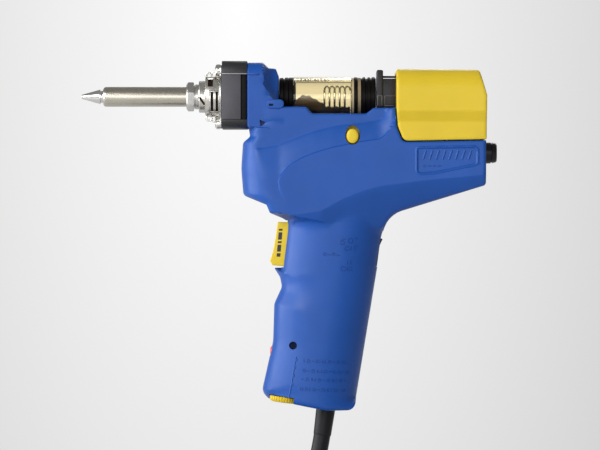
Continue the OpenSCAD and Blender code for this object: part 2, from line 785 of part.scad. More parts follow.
module temperature_pot() color("slategray") in_grip() translate([wheel_at[0], wheel_at[1], 0])
    difference() {
        translate([0, 0, pot_low]) cylinder(h = pot_h, d = 7);
        translate([0, 0, pot_low - 1]) cylinder(h = 6, d = 3.06);
    }

module lamp_lens() color("orangered") {
    rod_x(-22.6, -18.6, 4.8, lamp_z);
    cone_x(-23.4, -22.6 + eps, 3.6, 4.8, lamp_z);
    rod_x(-19.5, -18.6, 6.4, lamp_z);
}

module lamp_led() color("mistyrose") rod_x(-18.5, -15.8, 3, lamp_z);

// ---------- cord ----------

module cord_sleeve() color("black") in_grip() translate([cord_u, 0, 0]) rotate_extrude()
    polygon([
        [cord_d / 2 + 0.03, sleeve_top], [4.4, sleeve_top], [4.4, -37.2], [6.3, -37.2],
        [6.3, -38.9], [4.4, -38.9], [4.3, -42], [4.02, sleeve_end], [cord_d / 2 + 0.03, sleeve_end]
    ]);

module cord_clamp() color("gray") in_grip() difference() {
    block([cord_u - 7, -6.5, -35], [cord_u + 6.5, 6.5, -31]);
    translate([cord_u, 0, -40]) cylinder(h = 12, d = 8.84);
}

module cord_lead() color("black") sweep(lead_route, cord_d / 2, cord_sides, [0, 1, 0]);

module cord_coil() color("black") translate([coil_at[0], coil_at[1], coil_bottom]) rotate_extrude()
    translate([coil_r - coil_thick / 2, 0]) square([coil_thick, coil_h]);

module cord_tail() color("black") sweep(tail_route, cord_d / 2, cord_sides, [0, 1, 0]);

module tie_section(grow) translate([coil_r - coil_thick / 2 - grow, -grow])
    square([coil_thick + 2 * grow, coil_h + 2 * grow]);

module cord_tie() color("dimgray") translate([coil_at[0], coil_at[1], coil_bottom]) rotate([0, 0, 205])
    difference() {
        rotate_extrude(angle = 10) tie_section(tie_gauge);
        rotate([0, 0, -5]) rotate_extrude(angle = 20) tie_section(0.05);
    }

// The plug's own frame: +X out of the face, resting on the surface at z = 0
module in_plug() translate([plug_at[0], plug_at[1], surface_z]) rotate([0, 0, plug_turn]) children();

module plug_body() color("black") in_plug() difference() {
    union() {
        along(relief_len, relief_len + plug_len) polygon(rounded([
            [-plug_w / 2, 0, 3], [plug_w / 2, 0, 3],
            [plug_w / 2, plug_h, 8], [-plug_w / 2, plug_h, 8]
        ]));
        cone_x(0, relief_len + eps, cord_d + 1, cord_d + 4, plug_h / 2);
    }
    rod_x(-1, 11.5, cord_d + 0.06, plug_h / 2);
}

module plug_pins() color("gold") in_plug() {
    for (side = [-1, 1])
        block([relief_len + plug_len, side * blade_gap / 2 - 0.75, blade_z],
              [relief_len + plug_len + 16, side * blade_gap / 2 + 0.75, blade_z + 6.4]);
    rod_x(relief_len + plug_len, relief_len + plug_len + 18, 4.8, blade_z + 3.2 - ground_drop);
}

nozzle();
barrel();
heating_element();
vacuum_pipe();
barrel_nut();
clamp_collar();
element_cover();
element_screws();
front_block();
heat_gasket();
front_seal();
filter_tube();
solder_spring();
baffle_plate();
filter_pad();
rear_seal();
back_holder();
holder_spring();
vacuum_hose();
release_button();
release_spring();
housing_left();
housing_right();
housing_screws();
pump_cover();
cover_screws();
exhaust_cap();
exhaust_filter();
exhaust_duct();
motor();
motor_shaft();
crank();
connecting_rod();
pump_base();
diaphragm();
pump_chamber();
valve_plate();
pump_head();
pump_head_screws();
trigger();
trigger_pin();
trigger_spring();
trigger_switch();
power_rocker();
power_switch();
circuit_board();
board_parts();
trimmer();
temperature_wheel();
temperature_pot();
lamp_lens();
lamp_led();
cord_sleeve();
cord_clamp();
cord_lead();
cord_coil();
cord_tail();
cord_tie();
plug_body();
plug_pins();
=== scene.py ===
from math import acos, atan2, ceil, cos, dist, hypot, pi, radians, sin, sqrt, tan

import bmesh
import bpy
import numpy as np
from mathutils import Matrix, Vector
from mathutils.geometry import delaunay_2d_cdt


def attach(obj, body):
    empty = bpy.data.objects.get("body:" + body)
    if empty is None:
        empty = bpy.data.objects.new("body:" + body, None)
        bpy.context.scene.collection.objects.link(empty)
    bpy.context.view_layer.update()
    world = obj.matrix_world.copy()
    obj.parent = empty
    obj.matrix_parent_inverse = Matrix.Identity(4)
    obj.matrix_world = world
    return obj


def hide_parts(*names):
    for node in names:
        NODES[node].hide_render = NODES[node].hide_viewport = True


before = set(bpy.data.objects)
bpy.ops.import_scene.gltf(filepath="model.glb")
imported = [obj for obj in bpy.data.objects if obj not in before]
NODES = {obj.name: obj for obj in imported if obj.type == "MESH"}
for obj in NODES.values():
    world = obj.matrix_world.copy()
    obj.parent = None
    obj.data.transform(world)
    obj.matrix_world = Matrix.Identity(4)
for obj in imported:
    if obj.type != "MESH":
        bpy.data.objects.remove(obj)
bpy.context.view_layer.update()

scene = bpy.context.scene
MM = 0.001
AXIS_Z = 98.5                 # height of the suction axis, mm
TILT = radians(7.7)      # lean of the grip
FLOOR_Z = -138.3              # the surface that the coil and the plug lie on


# ---- materials

NOISE_ROUGHNESS = 0.55
NOISE_LOW, NOISE_HIGH = 0.3, 0.7      # the stretch of a noise's values that the ramps use


def new_material(name, rgb, rough, metallic=0.0):
    m = bpy.data.materials.new(name)
    m.use_nodes = True
    m.diffuse_color = (*rgb, 1)
    b = m.node_tree.nodes["Principled BSDF"]
    put(b, {"Base Color": (*rgb, 1), "Roughness": rough, "Metallic": metallic})
    return m, m.node_tree, b


def put(n, values):
    for socket, value in values.items():
        n.inputs[socket].default_value = value


def node(nt, kind, values):
    n = nt.nodes.new("ShaderNode" + kind)
    put(n, values)
    return n


def object_place(nt, values=None):
    """Object coordinates, through a mapping where it has values."""
    place = node(nt, "TexCoord", {}).outputs["Object"]
    if not values:
        return place
    mapping = node(nt, "Mapping", values)
    nt.links.new(place, mapping.inputs["Vector"])
    return mapping.outputs["Vector"]


def noise(nt, scale, detail=3.0, stretch=None):
    n = node(nt, "TexNoise", {"Scale": scale, "Detail": detail, "Roughness": NOISE_ROUGHNESS})
    nt.links.new(object_place(nt, stretch and {"Scale": stretch}), n.inputs["Vector"])
    return n


def glossed(nt, b, source, low, high):
    """Roughness that follows the noise between two values."""
    r = node(nt, "MapRange", {"From Min": NOISE_LOW, "From Max": NOISE_HIGH, "To Min": low, "To Max": high})
    nt.links.new(source.outputs[0], r.inputs["Value"])
    nt.links.new(r.outputs[0], b.inputs["Roughness"])


def tinted(nt, b, source, rgb, low, high):
    """Base colour that follows the noise between two shades of rgb."""
    ramp = node(nt, "ValToRGB", {})
    for element, place, level in zip(ramp.color_ramp.elements, (NOISE_LOW, NOISE_HIGH), (low, high)):
        element.position = place
        element.color = (*(min(1.0, c * level) for c in rgb), 1)
    nt.links.new(source.outputs[0], ramp.inputs["Fac"])
    nt.links.new(ramp.outputs["Color"], b.inputs["Base Color"])


def bumped(nt, b, source, strength, distance, base=None):
    k = node(nt, "Bump", {"Strength": strength, "Distance": distance})
    nt.links.new(source.outputs[0], k.inputs["Height"])
    if base:
        nt.links.new(base.outputs["Normal"], k.inputs["Normal"])
    nt.links.new(k.outputs["Normal"], b.inputs["Normal"])
    return k


def plastic(name, rgb, rough, grain, grain_scale, vary, coat=0.0, specular=0.5):
    """Moulded plastic: a fine spark-eroded grain, slow colour drift and uneven gloss."""
    m, nt, b = new_material(name, rgb, rough)
    put(b, {"Specular IOR Level": specular})
    if coat:
        put(b, {"Coat Weight": coat, "Coat Roughness": 0.25})
    tinted(nt, b, noise(nt, 55, 4), rgb, 1 - vary, 1 + vary)
    glossed(nt, b, noise(nt, 160, 5), rough - 0.05, rough + 0.06)
    wave = bumped(nt, b, noise(nt, 90, 2), 0.12, 0.0004)
    bumped(nt, b, noise(nt, grain_scale, 2), grain, 0.00008, wave)
    return m


def metal(name, rgb, rough, brush, scale, strength, vary):
    """Turned or stamped metal: fine machining lines, blotchy gloss and a little tint."""
    m, nt, b = new_material(name, rgb, rough, 1.0)
    tinted(nt, b, noise(nt, 120, 5), rgb, 1 - vary, 1 + vary * 0.6)
    lines = noise(nt, scale, 3, brush)
    glossed(nt, b, lines, rough - 0.06, rough + 0.1)
    bumped(nt, b, lines, strength, 0.00005)
    return m


def clear(name, rgb, rough):
    m, nt, b = new_material(name, rgb, rough)
    put(b, {"Transmission Weight": 1.0, "IOR": 1.5})
    glossed(nt, b, noise(nt, 140, 4), rough, rough + 0.05)
    return m


BLUE = plastic("blue_shell", (0.009, 0.073, 0.340), 0.40, 0.22, 2400, 0.05, specular=0.30)
YELLOW = plastic("yellow_shell", (0.67, 0.485, 0.028), 0.34, 0.18, 2400, 0.04, specular=0.24)
BLACK = plastic("black_plastic", (0.010, 0.009, 0.012), 0.28, 0.2, 2200, 0.15, specular=0.3)
SATIN_BLACK = plastic("satin_black", (0.022, 0.022, 0.024), 0.42, 0.3, 1800, 0.15)
PHENOLIC = plastic("grey_phenolic", (0.060, 0.058, 0.070), 0.62, 0.9, 900, 0.22)
# darker copy of the grey phenolic: painted shade for the block's crown and foot
PHENOLIC_SHADED = plastic("phenolic_painted_shade", (0.016, 0.016, 0.019), 0.5, 0.9, 900, 0.3)
RUBBER = plastic("black_rubber", (0.004, 0.003, 0.003), 0.38, 0.35, 1500, 0.2, specular=0.10)
CORD = plastic("cord_jacket", (0.008, 0.008, 0.010), 0.38, 0.3, 1300, 0.12, specular=0.22)
RED = plastic("red_lens", (0.75, 0.07, 0.03), 0.18, 0.05, 1500, 0.05, coat=0.5)
INK = plastic("black_print", (0.02, 0.02, 0.02), 0.5, 0.1, 1500, 0.1)
IVORY = plastic("ivory_plastic", (0.72, 0.68, 0.56), 0.45, 0.3, 1500, 0.05)
FELT = plastic("felt", (0.72, 0.70, 0.66), 0.9, 0.9, 700, 0.08)
CERAMIC = plastic("pale_ceramic", (0.50, 0.41, 0.24), 0.6, 0.5, 900, 0.1)
# lighter black that stands in for a painted highlight on the edges of the holder's ridges
RIDGE_HIGHLIGHT_BLACK = plastic("ridge_highlight_black", (0.085, 0.083, 0.085), 0.3, 0.2, 2200, 0.15)
PAD = plastic("fibre_pad", (0.24, 0.18, 0.10), 0.8, 0.9, 800, 0.15)
# pale grey that stands in for a painted highlight along the ledge under the block's crown
LEDGE_HIGHLIGHT_GREY = plastic("ledge_highlight_grey", (0.27, 0.26, 0.27), 0.35, 0.3, 1500, 0.1)
NICKEL = metal("satin_nickel", (0.66, 0.65, 0.62), 0.30, (5, 5, 5), 150, 0.25, 0.08)
SOOT = plastic("heat_darkened", (0.020, 0.010, 0.007), 0.55, 0.6, 700, 0.4, specular=0.15)
GREEN = plastic("board_green", (0.02, 0.16, 0.06), 0.35, 0.4, 900, 0.15)
BARREL = metal("barrel_steel", (0.60, 0.56, 0.48), 0.27, (1, 18, 18), 900, 0.25, 0.07)
BRIGHT = metal("bright_steel", (0.80, 0.79, 0.76), 0.16, (6, 6, 6), 120, 0.25, 0.07)
STAMPED = metal("stamped_steel", (0.70, 0.68, 0.63), 0.24, (3, 3, 3), 160, 0.5, 0.14)
SPRING = metal("spring_wire", (0.72, 0.70, 0.64), 0.2, (1, 8, 8), 400, 0.2, 0.08)
BRASS = metal("brass", (0.74, 0.52, 0.20), 0.26, (1, 12, 12), 500, 0.2, 0.08)
GLASS = clear("amber_glass", (0.985, 0.90, 0.66), 0.02)
SMOKE = plastic("dark_residue", (0.135, 0.098, 0.046), 0.5, 0.6, 500, 0.45, specular=0.2)


# ---- mesh tools

BOX_FACES = [[0, 1, 3, 2], [4, 6, 7, 5], [0, 4, 5, 1], [2, 3, 7, 6], [0, 2, 6, 4], [1, 5, 7, 3]]


def polar(x, z, r, angle):
    return (x + r * cos(angle), z + r * sin(angle))


def around(n):
    """n equal angles round a full turn."""
    return [2 * pi * k / n for k in range(n)]


def unit(v):
    n = hypot(v[0], v[1])
    return (v[0] / n, v[1] / n)


def rounded(corners, n=6):
    """A closed outline of points (a, b, radius), with each corner an arc of that radius in n steps."""
    out = []
    for i, (x, z, r) in enumerate(corners):
        if not r:
            out.append((x, z))
            continue
        a, d = corners[i - 1], corners[(i + 1) % len(corners)]
        u, v = unit((a[0] - x, a[1] - z)), unit((d[0] - x, d[1] - z))
        half = acos(max(-1, min(1, u[0] * v[0] + u[1] * v[1]))) / 2
        m = unit((u[0] + v[0], u[1] + v[1]))
        mx, mz = x + m[0] * r / sin(half), z + m[1] * r / sin(half)
        t = r / tan(half)
        p = atan2(z + u[1] * t - mz, x + u[0] * t - mx)
        q = atan2(z + v[1] * t - mz, x + v[0] * t - mx)
        turn = (q - p + pi) % (2 * pi) - pi
        out += [polar(mx, mz, r, p + turn * j / n) for j in range(n + 1)]
    return out


def as_bm(verts, faces):
    bm = bmesh.new()
    vs = [bm.verts.new(v) for v in verts]
    for f in faces:
        bm.faces.new([vs[i] for i in f])
    bmesh.ops.recalc_face_normals(bm, faces=bm.faces)
    return bm


def skin(rings, closed=False):
    """A solid through rings of equally many points: capped at both ends, or closed on itself."""
    k, m = len(rings[0]), len(rings)
    faces = [[i * k + j, i * k + (j + 1) % k, (i + 1) % m * k + (j + 1) % k, (i + 1) % m * k + j]
             for i in range(m if closed else m - 1) for j in range(k)]
    if not closed:
        faces += [list(range(k)), list(range((m - 1) * k, m * k))]
    return as_bm([v for ring in rings for v in ring], faces)


def bevel(bm, width, segments=2, angle=25):
    edges = [e for e in bm.edges if len(e.link_faces) == 2 and e.calc_face_angle(0) > radians(angle)]
    if edges and width:
        bmesh.ops.bevel(bm, geom=edges, offset=width, segments=segments, profile=0.5, affect="EDGES",
                        clamp_overlap=True)
    return bm


def prism(outline, lo, hi, axis="y", width=0.3, segments=2):
    """A flat outline extruded along an axis, with rounded edges. It lies in the other two axes."""
    def at(a, b, c):
        point = [a, b]
        point.insert("xyz".index(axis), c)
        return tuple(point)

    return bevel(skin([[at(a, b, c) for a, b in outline] for c in (lo, hi)]), width, segments)


def box(low, high, width=0.3):
    o = [(low[0], low[1]), (high[0], low[1]), (high[0], high[1]), (low[0], high[1])]
    return prism(o, low[2], high[2], "z", width)


def lathe(profile, n=64, closed=False):
    """(x, radius) points turned round the X axis."""
    verts, rings = [], []
    for x, r in profile:
        if r < 1e-6:
            rings.append([len(verts)])
            verts.append((x, 0, 0))
        else:
            rings.append(list(range(len(verts), len(verts) + n)))
            verts += [(x, *polar(0, 0, r, a)) for a in around(n)]
    faces, m = [], len(rings)
    for i in range(m if closed else m - 1):
        a, b = rings[i], rings[(i + 1) % m]
        if len(a) == 1 and len(b) == 1:
            continue
        for k in range(n):
            j = (k + 1) % n
            q = [a[k % len(a)], a[j % len(a)], b[j % len(b)], b[k % len(b)]]
            faces.append(list(dict.fromkeys(q)))
    if not closed:
        faces += [r for r in (rings[0], rings[-1]) if len(r) > 2]
    return as_bm(verts, faces)


def rod(x0, x1, r, n=32):
    """A plain cylinder on the X axis."""
    return lathe([(x0, 0), (x0, r), (x1, r), (x1, 0)], n)


def frames(path):
    """Each point of the path with two directions square to it, turning as little as they can."""
    p = [Vector(q) for q in path]
    t = [(p[min(i + 1, len(p) - 1)] - p[max(i - 1, 0)]).normalized() for i in range(len(p))]
    n = t[0].orthogonal().normalized()
    out = []
    for q, d in zip(p, t):
        n = (n - d * n.dot(d)).normalized()
        out.append((q, n, d.cross(n)))
    return out


def tube(path, r, sides=10):
    """A round wire or cord along the path."""
    return skin([[q + n * (r * cos(a)) + b * (r * sin(a)) for a in around(sides)]
                 for q, n, b in frames(path)])


def moved(bm, x=0, y=0, z=0):
    bmesh.ops.translate(bm, verts=bm.verts, vec=(x, y, z))
    return bm


def turned(profile, n=64, closed=False):
    """A lathe shape on the suction axis."""
    return moved(lathe(profile, n, closed), 0, 0, AXIS_Z)


def swung(bm, degrees, axis):
    bm.transform(Matrix.Rotation(radians(degrees), 4, axis))
    return bm


def leaned(bm, u=0, v=0, w=0):
    """From the grip's own leaning frame to the gun's frame."""
    bm.transform(Matrix.Rotation(TILT, 4, "Y") @ Matrix.Translation((u, v, w)))
    return bm


def on_side(s, a, b):
    """Two distances from the middle plane, as the low and high Y on side s."""
    return sorted((s * a, s * b))


def joined(*bms):
    out = bmesh.new()
    for bm in bms:
        me = bpy.data.meshes.new("part")
        bm.to_mesh(me)
        bm.free()
        out.from_mesh(me)
        bpy.data.meshes.remove(me)
    return out


def piece(name, bm, material, stands_for=(), angle=32, body="gun"):
    """One visible piece in metres, shaded smooth up to the angle, riding on a body."""
    bm.transform(Matrix.Scale(MM, 4))
    me = bpy.data.meshes.new(name)
    bm.to_mesh(me)
    bm.free()
    me.shade_smooth()
    me.set_sharp_from_angle(angle=radians(angle))
    me.materials.append(material)
    o = bpy.data.objects.new(name, me)
    scene.collection.objects.link(o)
    if body:
        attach(o, body)
    if stands_for:
        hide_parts(*stands_for)
    return o


def carved(bm, cutters):
    """The solid bm less the solid cutters."""
    obs = []
    for k, b in enumerate([bm, *cutters]):
        me = bpy.data.meshes.new("carve")
        bmesh.ops.recalc_face_normals(b, faces=b.faces)
        b.to_mesh(me)
        b.free()
        o = bpy.data.objects.new("carve_%d" % k, me)
        scene.collection.objects.link(o)
        obs.append(o)
    for o in obs[1:]:
        mod = obs[0].modifiers.new("cut", "BOOLEAN")
        mod.operation, mod.solver, mod.object = "DIFFERENCE", "EXACT", o
    dg = bpy.context.evaluated_depsgraph_get()
    out = bmesh.new()
    out.from_mesh(obs[0].evaluated_get(dg).to_mesh())
    for o in obs:
        me = o.data
        bpy.data.objects.remove(o)
        bpy.data.meshes.remove(me)
    return out


# ---- pillow shapes

OUTLINE_GAP = 1.3      # spacing of the points along a pillow's outline, mm


def step(a, b, x):
    t = np.clip((x - a) / (b - a), 0, 1)
    return t * t * (3 - 2 * t)


def dense(line, gap, closed=False):
    """The line with points no further apart than the gap."""
    out, pts = [], list(line) + ([line[0]] if closed else [])
    for a, b in zip(pts, pts[1:]):
        n = max(1, ceil(dist(a, b) / gap - 1e-6))
        out += [(a[0] + (b[0] - a[0]) * i / n, a[1] + (b[1] - a[1]) * i / n) for i in range(n)]
    return out if closed else out + [tuple(pts[-1])]


def segment_distance(p, segments):
    """Distance of each point to the nearest of the segments."""
    out = np.full(len(p), 1e9)
    for s, e in segments:
        s, e = np.array(s, float), np.array(e, float)
        d = e - s
        t = np.clip(((p - s) @ d) / max(d @ d, 1e-12), 0, 1)
        out = np.minimum(out, np.hypot(*(p - s - t[:, None] * d).T))
    return out


def distance(p, line, closed=True):
    return segment_distance(p, zip(line, line[1:] + line[:closed]))


def inside(p, line):
    a = np.array(line, float)
    b = np.roll(a, -1, 0)
    odd = np.zeros(len(p), bool)
    for s, e in zip(a, b):
        if s[1] == e[1]:
            continue
        hit = (s[1] > p[:, 1]) != (e[1] > p[:, 1])
        odd ^= hit & (p[:, 0] < (e[0] - s[0]) * (p[:, 1] - s[1]) / (e[1] - s[1]) + s[0])
    return odd


def signed(p, line):
    """Distance to a closed line, positive inside it."""
    return np.where(inside(p, line), 1, -1) * distance(p, line)


def normals(line, closed=True):
    a = np.array(line, float)
    t = (np.roll(a, -1, 0) - np.roll(a, 1, 0)) if closed else np.gradient(a, axis=0)
    t /= np.maximum(np.hypot(*t.T), 1e-9)[:, None]
    return np.stack([-t[:, 1], t[:, 0]], 1)


def thinned(p, gaps):
    """Indexes of the points that keep their gap from every point chosen before them."""
    chosen, near, cell = [], {}, 0.5
    for i, (q, gap) in enumerate(zip(p, gaps)):
        c = (int(q[0] // cell), int(q[1] // cell))
        reach = int(gap // cell) + 1
        clash = any(
            hypot(q[0] - s[0], q[1] - s[1]) < gap
            for a in range(-reach, reach + 1) for b in range(-reach, reach + 1)
            for s in near.get((c[0] + a, c[1] + b), ())
        )
        if not clash:
            near.setdefault(c, []).append((q[0], q[1]))
            chosen.append(i)
    return chosen


def inner_points(edge, outward, rings, pitch, lines):
    """Points inside the edge: rings along it, rows along the feature lines, and a grid over the rest."""
    e = np.array(edge)
    fine_gap, row_mark, grid_mark = 0.12, -1.0, -2.0
    points = [e + outward * r for r in rings]
    marks = [np.full(len(e), r) for r in rings]
    for line in lines:
        d = np.array(dense(line, 1.1))
        n = normals(d, False)
        for off in (-0.75, -0.3, 0, 0.3, 0.75):
            points.append(d + n * off)
            marks.append(np.full(len(d), row_mark))
    (x0, z0), (x1, z1) = e.min(0), e.max(0)
    heights = np.arange(z0, z1, pitch * 0.866)
    grid = np.array([(x + (0.5 * pitch if j % 2 else 0), z)
                     for j, z in enumerate(heights) for x in np.arange(x0, x1, pitch)])
    points.append(grid)
    marks.append(np.full(len(grid), grid_mark))
    p, w = np.concatenate(points), np.concatenate(marks)
    d = distance(p, edge)
    keep = inside(p, edge) & (d > fine_gap)
    keep &= (w < 0) | (np.abs(d - w) < 0.04 + 0.03 * w)
    p, w = p[keep], w[keep]
    gaps = [fine_gap if 0 < mark <= 0.5 else 0.28 if mark > grid_mark else 0.62 * pitch for mark in w]
    return p[thinned(p, gaps)]


def pillow(outline, height, side, rings, pitch, lines=(), seam=0.2):
    """A closed half solid over a side outline: height(points) is how far each stands off the middle plane."""
    edge = dense(outline, OUTLINE_GAP, True)
    e = np.array(edge)
    area = 0.5 * np.sum(e[:, 0] * np.roll(e[:, 1], -1) - np.roll(e[:, 0], -1) * e[:, 1])
    nrm = normals(edge) * (1 if area > 0 else -1)
    p = inner_points(edge, nrm, rings, pitch, lines)
    m = len(edge)
    points = [Vector(q) for q in [*edge, *p.tolist()]]
    flat, _, tris, _, _, _ = delaunay_2d_cdt(points, [], [list(range(m))], 1, 1e-4)
    co = np.array([(q[0], q[1]) for q in flat])
    h = np.maximum(height(co), seam + 0.05)
    n = len(co)
    verts = [(x, side * y, z) for (x, z), y in zip(co, h)]
    verts += [(x, side * seam, z) for x, z in co[:m]]
    verts += [(x + a * seam, 0, z + b * seam) for (x, z), (a, b) in zip(co[:m], nrm)]
    faces = [list(t) for t in tris]
    for i in range(m):
        j = (i + 1) % m
        faces.append([i, j, n + j, n + i])
        faces.append([n + i, n + j, n + m + j, n + m + i])
    faces.append([n + m + i for i in range(m)])
    return as_bm(verts, faces)


def open_middle(bm):
    """Takes off the faces that lie on the middle plane."""
    gone = [f for f in bm.faces if all(abs(v.co.y) < 1e-3 for v in f.verts)]
    bmesh.ops.delete(bm, geom=gone, context="FACES")
    return bm


def fillet(h, d, r):
    """Height h with its rim, at distance d from the edge, rounded to radius r."""
    k = np.clip(1 - d / r, 0, 1)
    return h - r * (1 - np.sqrt(1 - k * k))


# ---- housing

FLAT_Y = 22            # half width across the flat sides
GROOVE_Y = 21.1        # half width where the thumb groove begins
DECK_Y = 18.2          # half width of the deck under the glass
WHEEL = (-12.0, -9.2)  # place of the wheel in the grip's frame
BUTTON_X = 13.7        # middle of the release button
LAMP_Z = -16.6         # height of the lamp

SIDE = [
    (-33.5, 113.5, 0.8), (-26.4, 113.5, 0.8), (-24.0, 111.1, 0.6), (-20.7, 110.9, 0.8),
    (-19.4, 107.3, 0), (-19.4, 93.6, 0), (-7.0, 93.6, 2), (-4.5, 90.5, 2),
    (19.8, 90.5, 2), (23.2, 93.1, 2), (33.0, 93.1, 0),
    (33.6, 84.6, 3), (36.2, 77.8, 3), (73.5, 78.5, 0.4),
    (73.5, 58.4, 1.6), (28.9, 44.7, 12),
    (14.6, -42.8, 4), (2.0, -42.9, 25), (-27.6, -37.0, 4.5),
    (-22.0, -12.0, 20), (-21.5, 5.0, 6), (-18.0, 12.6, 4), (-18.9, 17.0, 5), (-21.6, 21.2, 0.4),
    (-18.4, 21.2, 0), (-15.7, 42.4, 0),
    (-18.0, 43.7, 0.4), (-23.4, 45.9, 1.5), (-24.9, 49.6, 1.5), (-35.4, 53.9, 2.5),
    (-36.4, 66.0, 40), (-35.6, 77.6, 2.5), (-32.3, 80.3, 1.2), (-32.9, 83.9, 0),
    (-33.5, 83.9, 0),
]
# upper and lower lines of the thumb groove, the lower edge of the flat side, and the top of the grip
UPPER = [(-36, 75.8), (-35, 75.5), (-27.6, 74.6), (-20.3, 75.9), (-11.7, 79.3), (-3.2, 82.4), (5.5, 84.5),
         (12.4, 85.4), (20, 86.3), (24, 86.9), (26.7, 88), (28.7, 91), (29.5, 94)]
GROOVE = [(28.1, 80.7), (25.7, 79), (18.4, 78), (11.1, 76.5), (4.6, 75.2), (-3.2, 72.9), (-9.6, 70.3),
          (-13.5, 68), (-16.6, 65.2)]
LOWER = [(31.3, 85.9), (30.0, 83.0), *GROOVE, (-18.7, 62.6), (-19.5, 60), (-18.9, 56.5), (-17.6, 53.6),
         (-15.6, 50.8)]
FACET = [(-14, 44.9), (-0.9, 46.6), (9.8, 52.4), (18, 55.6), (25.7, 57.8), (45, 60.4), (73.4, 63)]
CREASE = [(-17, 45.4), (-13.9, 44.9), (-1, 42.4), (11.9, 40.1), (20, 39.6), (24, 39.5)]
PANEL = LOWER + [(-12, 47), (-8, 20), (95, 20), (95, 95), (36, 95), (34, 90)]
NICK = [(-28.0, 87.8), (-25.2, 86.5), (-27.6, 84.6)]
NICK_TAIL = [(-25.6, 86.6), (-21.5, 87.4), (-17.5, 87.4)]
FRAME = rounded([(42.4, 63.3, 1.6), (42.4, 75.2, 1.2), (69.7, 75.6, 2), (69.7, 67.6, 2), (50, 63.8, 2)], 4)
FRONT_FOOT = [(-34, 84.35), (-24, 84.35)]
FEATURES = [UPPER, LOWER, FACET, CREASE, FRAME + FRAME[:1], NICK_TAIL, FRONT_FOOT]
RINGS = [0.2, 0.5, 0.9, 1.4, 2.1, 3.0, 4.2]
SCREWS = [(-29.5, 66), (67, 64.5), (43, 54.6), (15, 8), (-20.3, -24.5)]
COUNTERBORE_R = 3.1

OUTLINE = rounded(SIDE)
EDGE = dense(OUTLINE, OUTLINE_GAP, True)
GRIP_FOOT_Z = -36.4    # the outline below this is the foot of the grip
GRIP_SIDES = [(a, b) for a, b in zip(EDGE, EDGE[1:] + EDGE[:1]) if max(a[1], b[1]) > GRIP_FOOT_Z]


def soft_min(a, b, k):
    t = np.clip(0.5 + 0.5 * (b - a) / k, 0, 1)
    return b * (1 - t) + a * t - k * t * (1 - t)


def along(x, line):
    return np.interp(x, *zip(*line))


def flat_side(x, z):
    """The flat side, and the facet that leans in below it."""
    lean = 0.40 + 0.3 * step(10, 50, x)
    return FLAT_Y - lean * np.maximum(0, along(x, [(-40, 42), *FACET]) - z)


def groove_and_deck(x, z):
    """Thumb groove between the panel and the deck, running out over the rounded front."""
    up = along(x, UPPER + [(31, 99)])
    low = along(x, [(-19, 60), *GROOVE[::-1], (31.3, 85.9)])
    t = np.clip((z - low) / np.maximum(up - low, 2), 0, 1)
    groove = GROOVE_Y - 2.6 * t ** 1.4
    groove = groove - 0.018 * np.maximum(0, 60 - z) ** 2
    above = step(-0.35, 0.55, z - up)
    return groove * (1 - above) + DECK_Y * above


def rounded_front(x, z):
    """Rounded front below the front block."""
    front_x = along(z, [(45, -26), (53.9, -35.6), (66, -36.6), (77.6, -35.8), (80.3, -33.6), (83.9, -33.4)])
    f = np.clip((-18 - x) / (-18 - front_x), 0, 1)
    nose = 22.4 * (1 - f ** 2.6) ** (1 / 2.6)
    return np.where(z < 84.4, nose, 60)


def front_section(x, z):
    """Flat cheeks with a rounded top and a scooped neck behind."""
    cheek = 17.6 + 1.2 * step(-27, -20, x) * (1 - step(91, 95, z))
    neck = along(z, [(93.6, -19.0), (96.4, -21.6), (99, -23.5), (102, -25.5), (103, -26.0), (108.5, -26.2),
                     (113, -26.6)])
    scoop = np.clip((x - neck) / 6.5, 0, 1)
    cheek = cheek - 6.8 * (1 - (1 - scoop) ** 2)
    top = np.clip(113.6 - z, 0, 6)
    return cheek - 6 * (1 - np.sqrt(np.clip(1 - (1 - top / 6) ** 2, 0, 1)))


def grip_height(p):
    """An oval that follows the outline, with a rounded foot."""
    q = np.clip(1 - segment_distance(p, GRIP_SIDES) / 21.5, 0, 1)
    grip = 18.6 * (1 - q ** 2.35) ** (1 / 2.35)
    foot = [(16.5, -42.8), (2.0, -42.9), (-29, -36.7)]
    return fillet(grip, distance(p, foot, False), 2.2)


def housing_height(p):
    """How far the housing's side stands off the middle plane at each point (x, z)."""
    x, z = p.T
    body = flat_side(x, z)
    outer = groove_and_deck(x, z)
    outer = outer + (body - outer) * step(60, 51, z)
    in_panel = step(-0.4, 0.4, signed(p, PANEL))
    h = soft_min(outer * (1 - in_panel) + body * in_panel, rounded_front(x, z), 1.6)
    front = (z > 84.3) & (x < -19.3)
    h = np.where(front, soft_min(h, front_section(x, z), 0.8), h)
    # soft crease that runs back from the nick under the front section
    h = h - 0.28 * np.exp(-(distance(p, NICK_TAIL, False) / 0.45) ** 2)
    rim = np.where(z > 76, 0.9, 2.0)
    rim = np.where((x > 60) & (z < 77), 1.3, rim)
    rim = np.where(front, 0.5 + 0.4 * step(-23, -19.4, x), rim)
    h = fillet(h, distance(p, EDGE), rim)
    # below the crease the body runs out into the grip
    crease = along(x, [(-30, 47), *CREASE, (40, 39.5)])
    grip = grip_height(p)
    near = np.exp(-np.maximum(0, crease - z) / 1.6)
    h = np.where(z > crease, np.maximum(grip, h), grip + np.maximum(0, h - grip) * near)
    # plain raised frame on the side of the pump end
    in_frame = signed(p, FRAME)
    field = step(0.2, 0.55, in_frame)
    return h + 0.36 * (step(-0.55, -0.2, in_frame) * (1 - field)) - 0.2 * field


def screw_seat(x, z):
    """Depth of a screw's counterbore: its head lies just under the lowest part of the rim."""
    rim = np.array([polar(x, z, COUNTERBORE_R, a) for a in np.linspace(0, 2 * pi, 12)])
    return float(housing_height(rim).min()) - 2.0


def slab(points, side, near, far):
    """A sharp-edged prism between two distances from the middle plane."""
    return prism(points, *on_side(side, near, far), "y", 0)


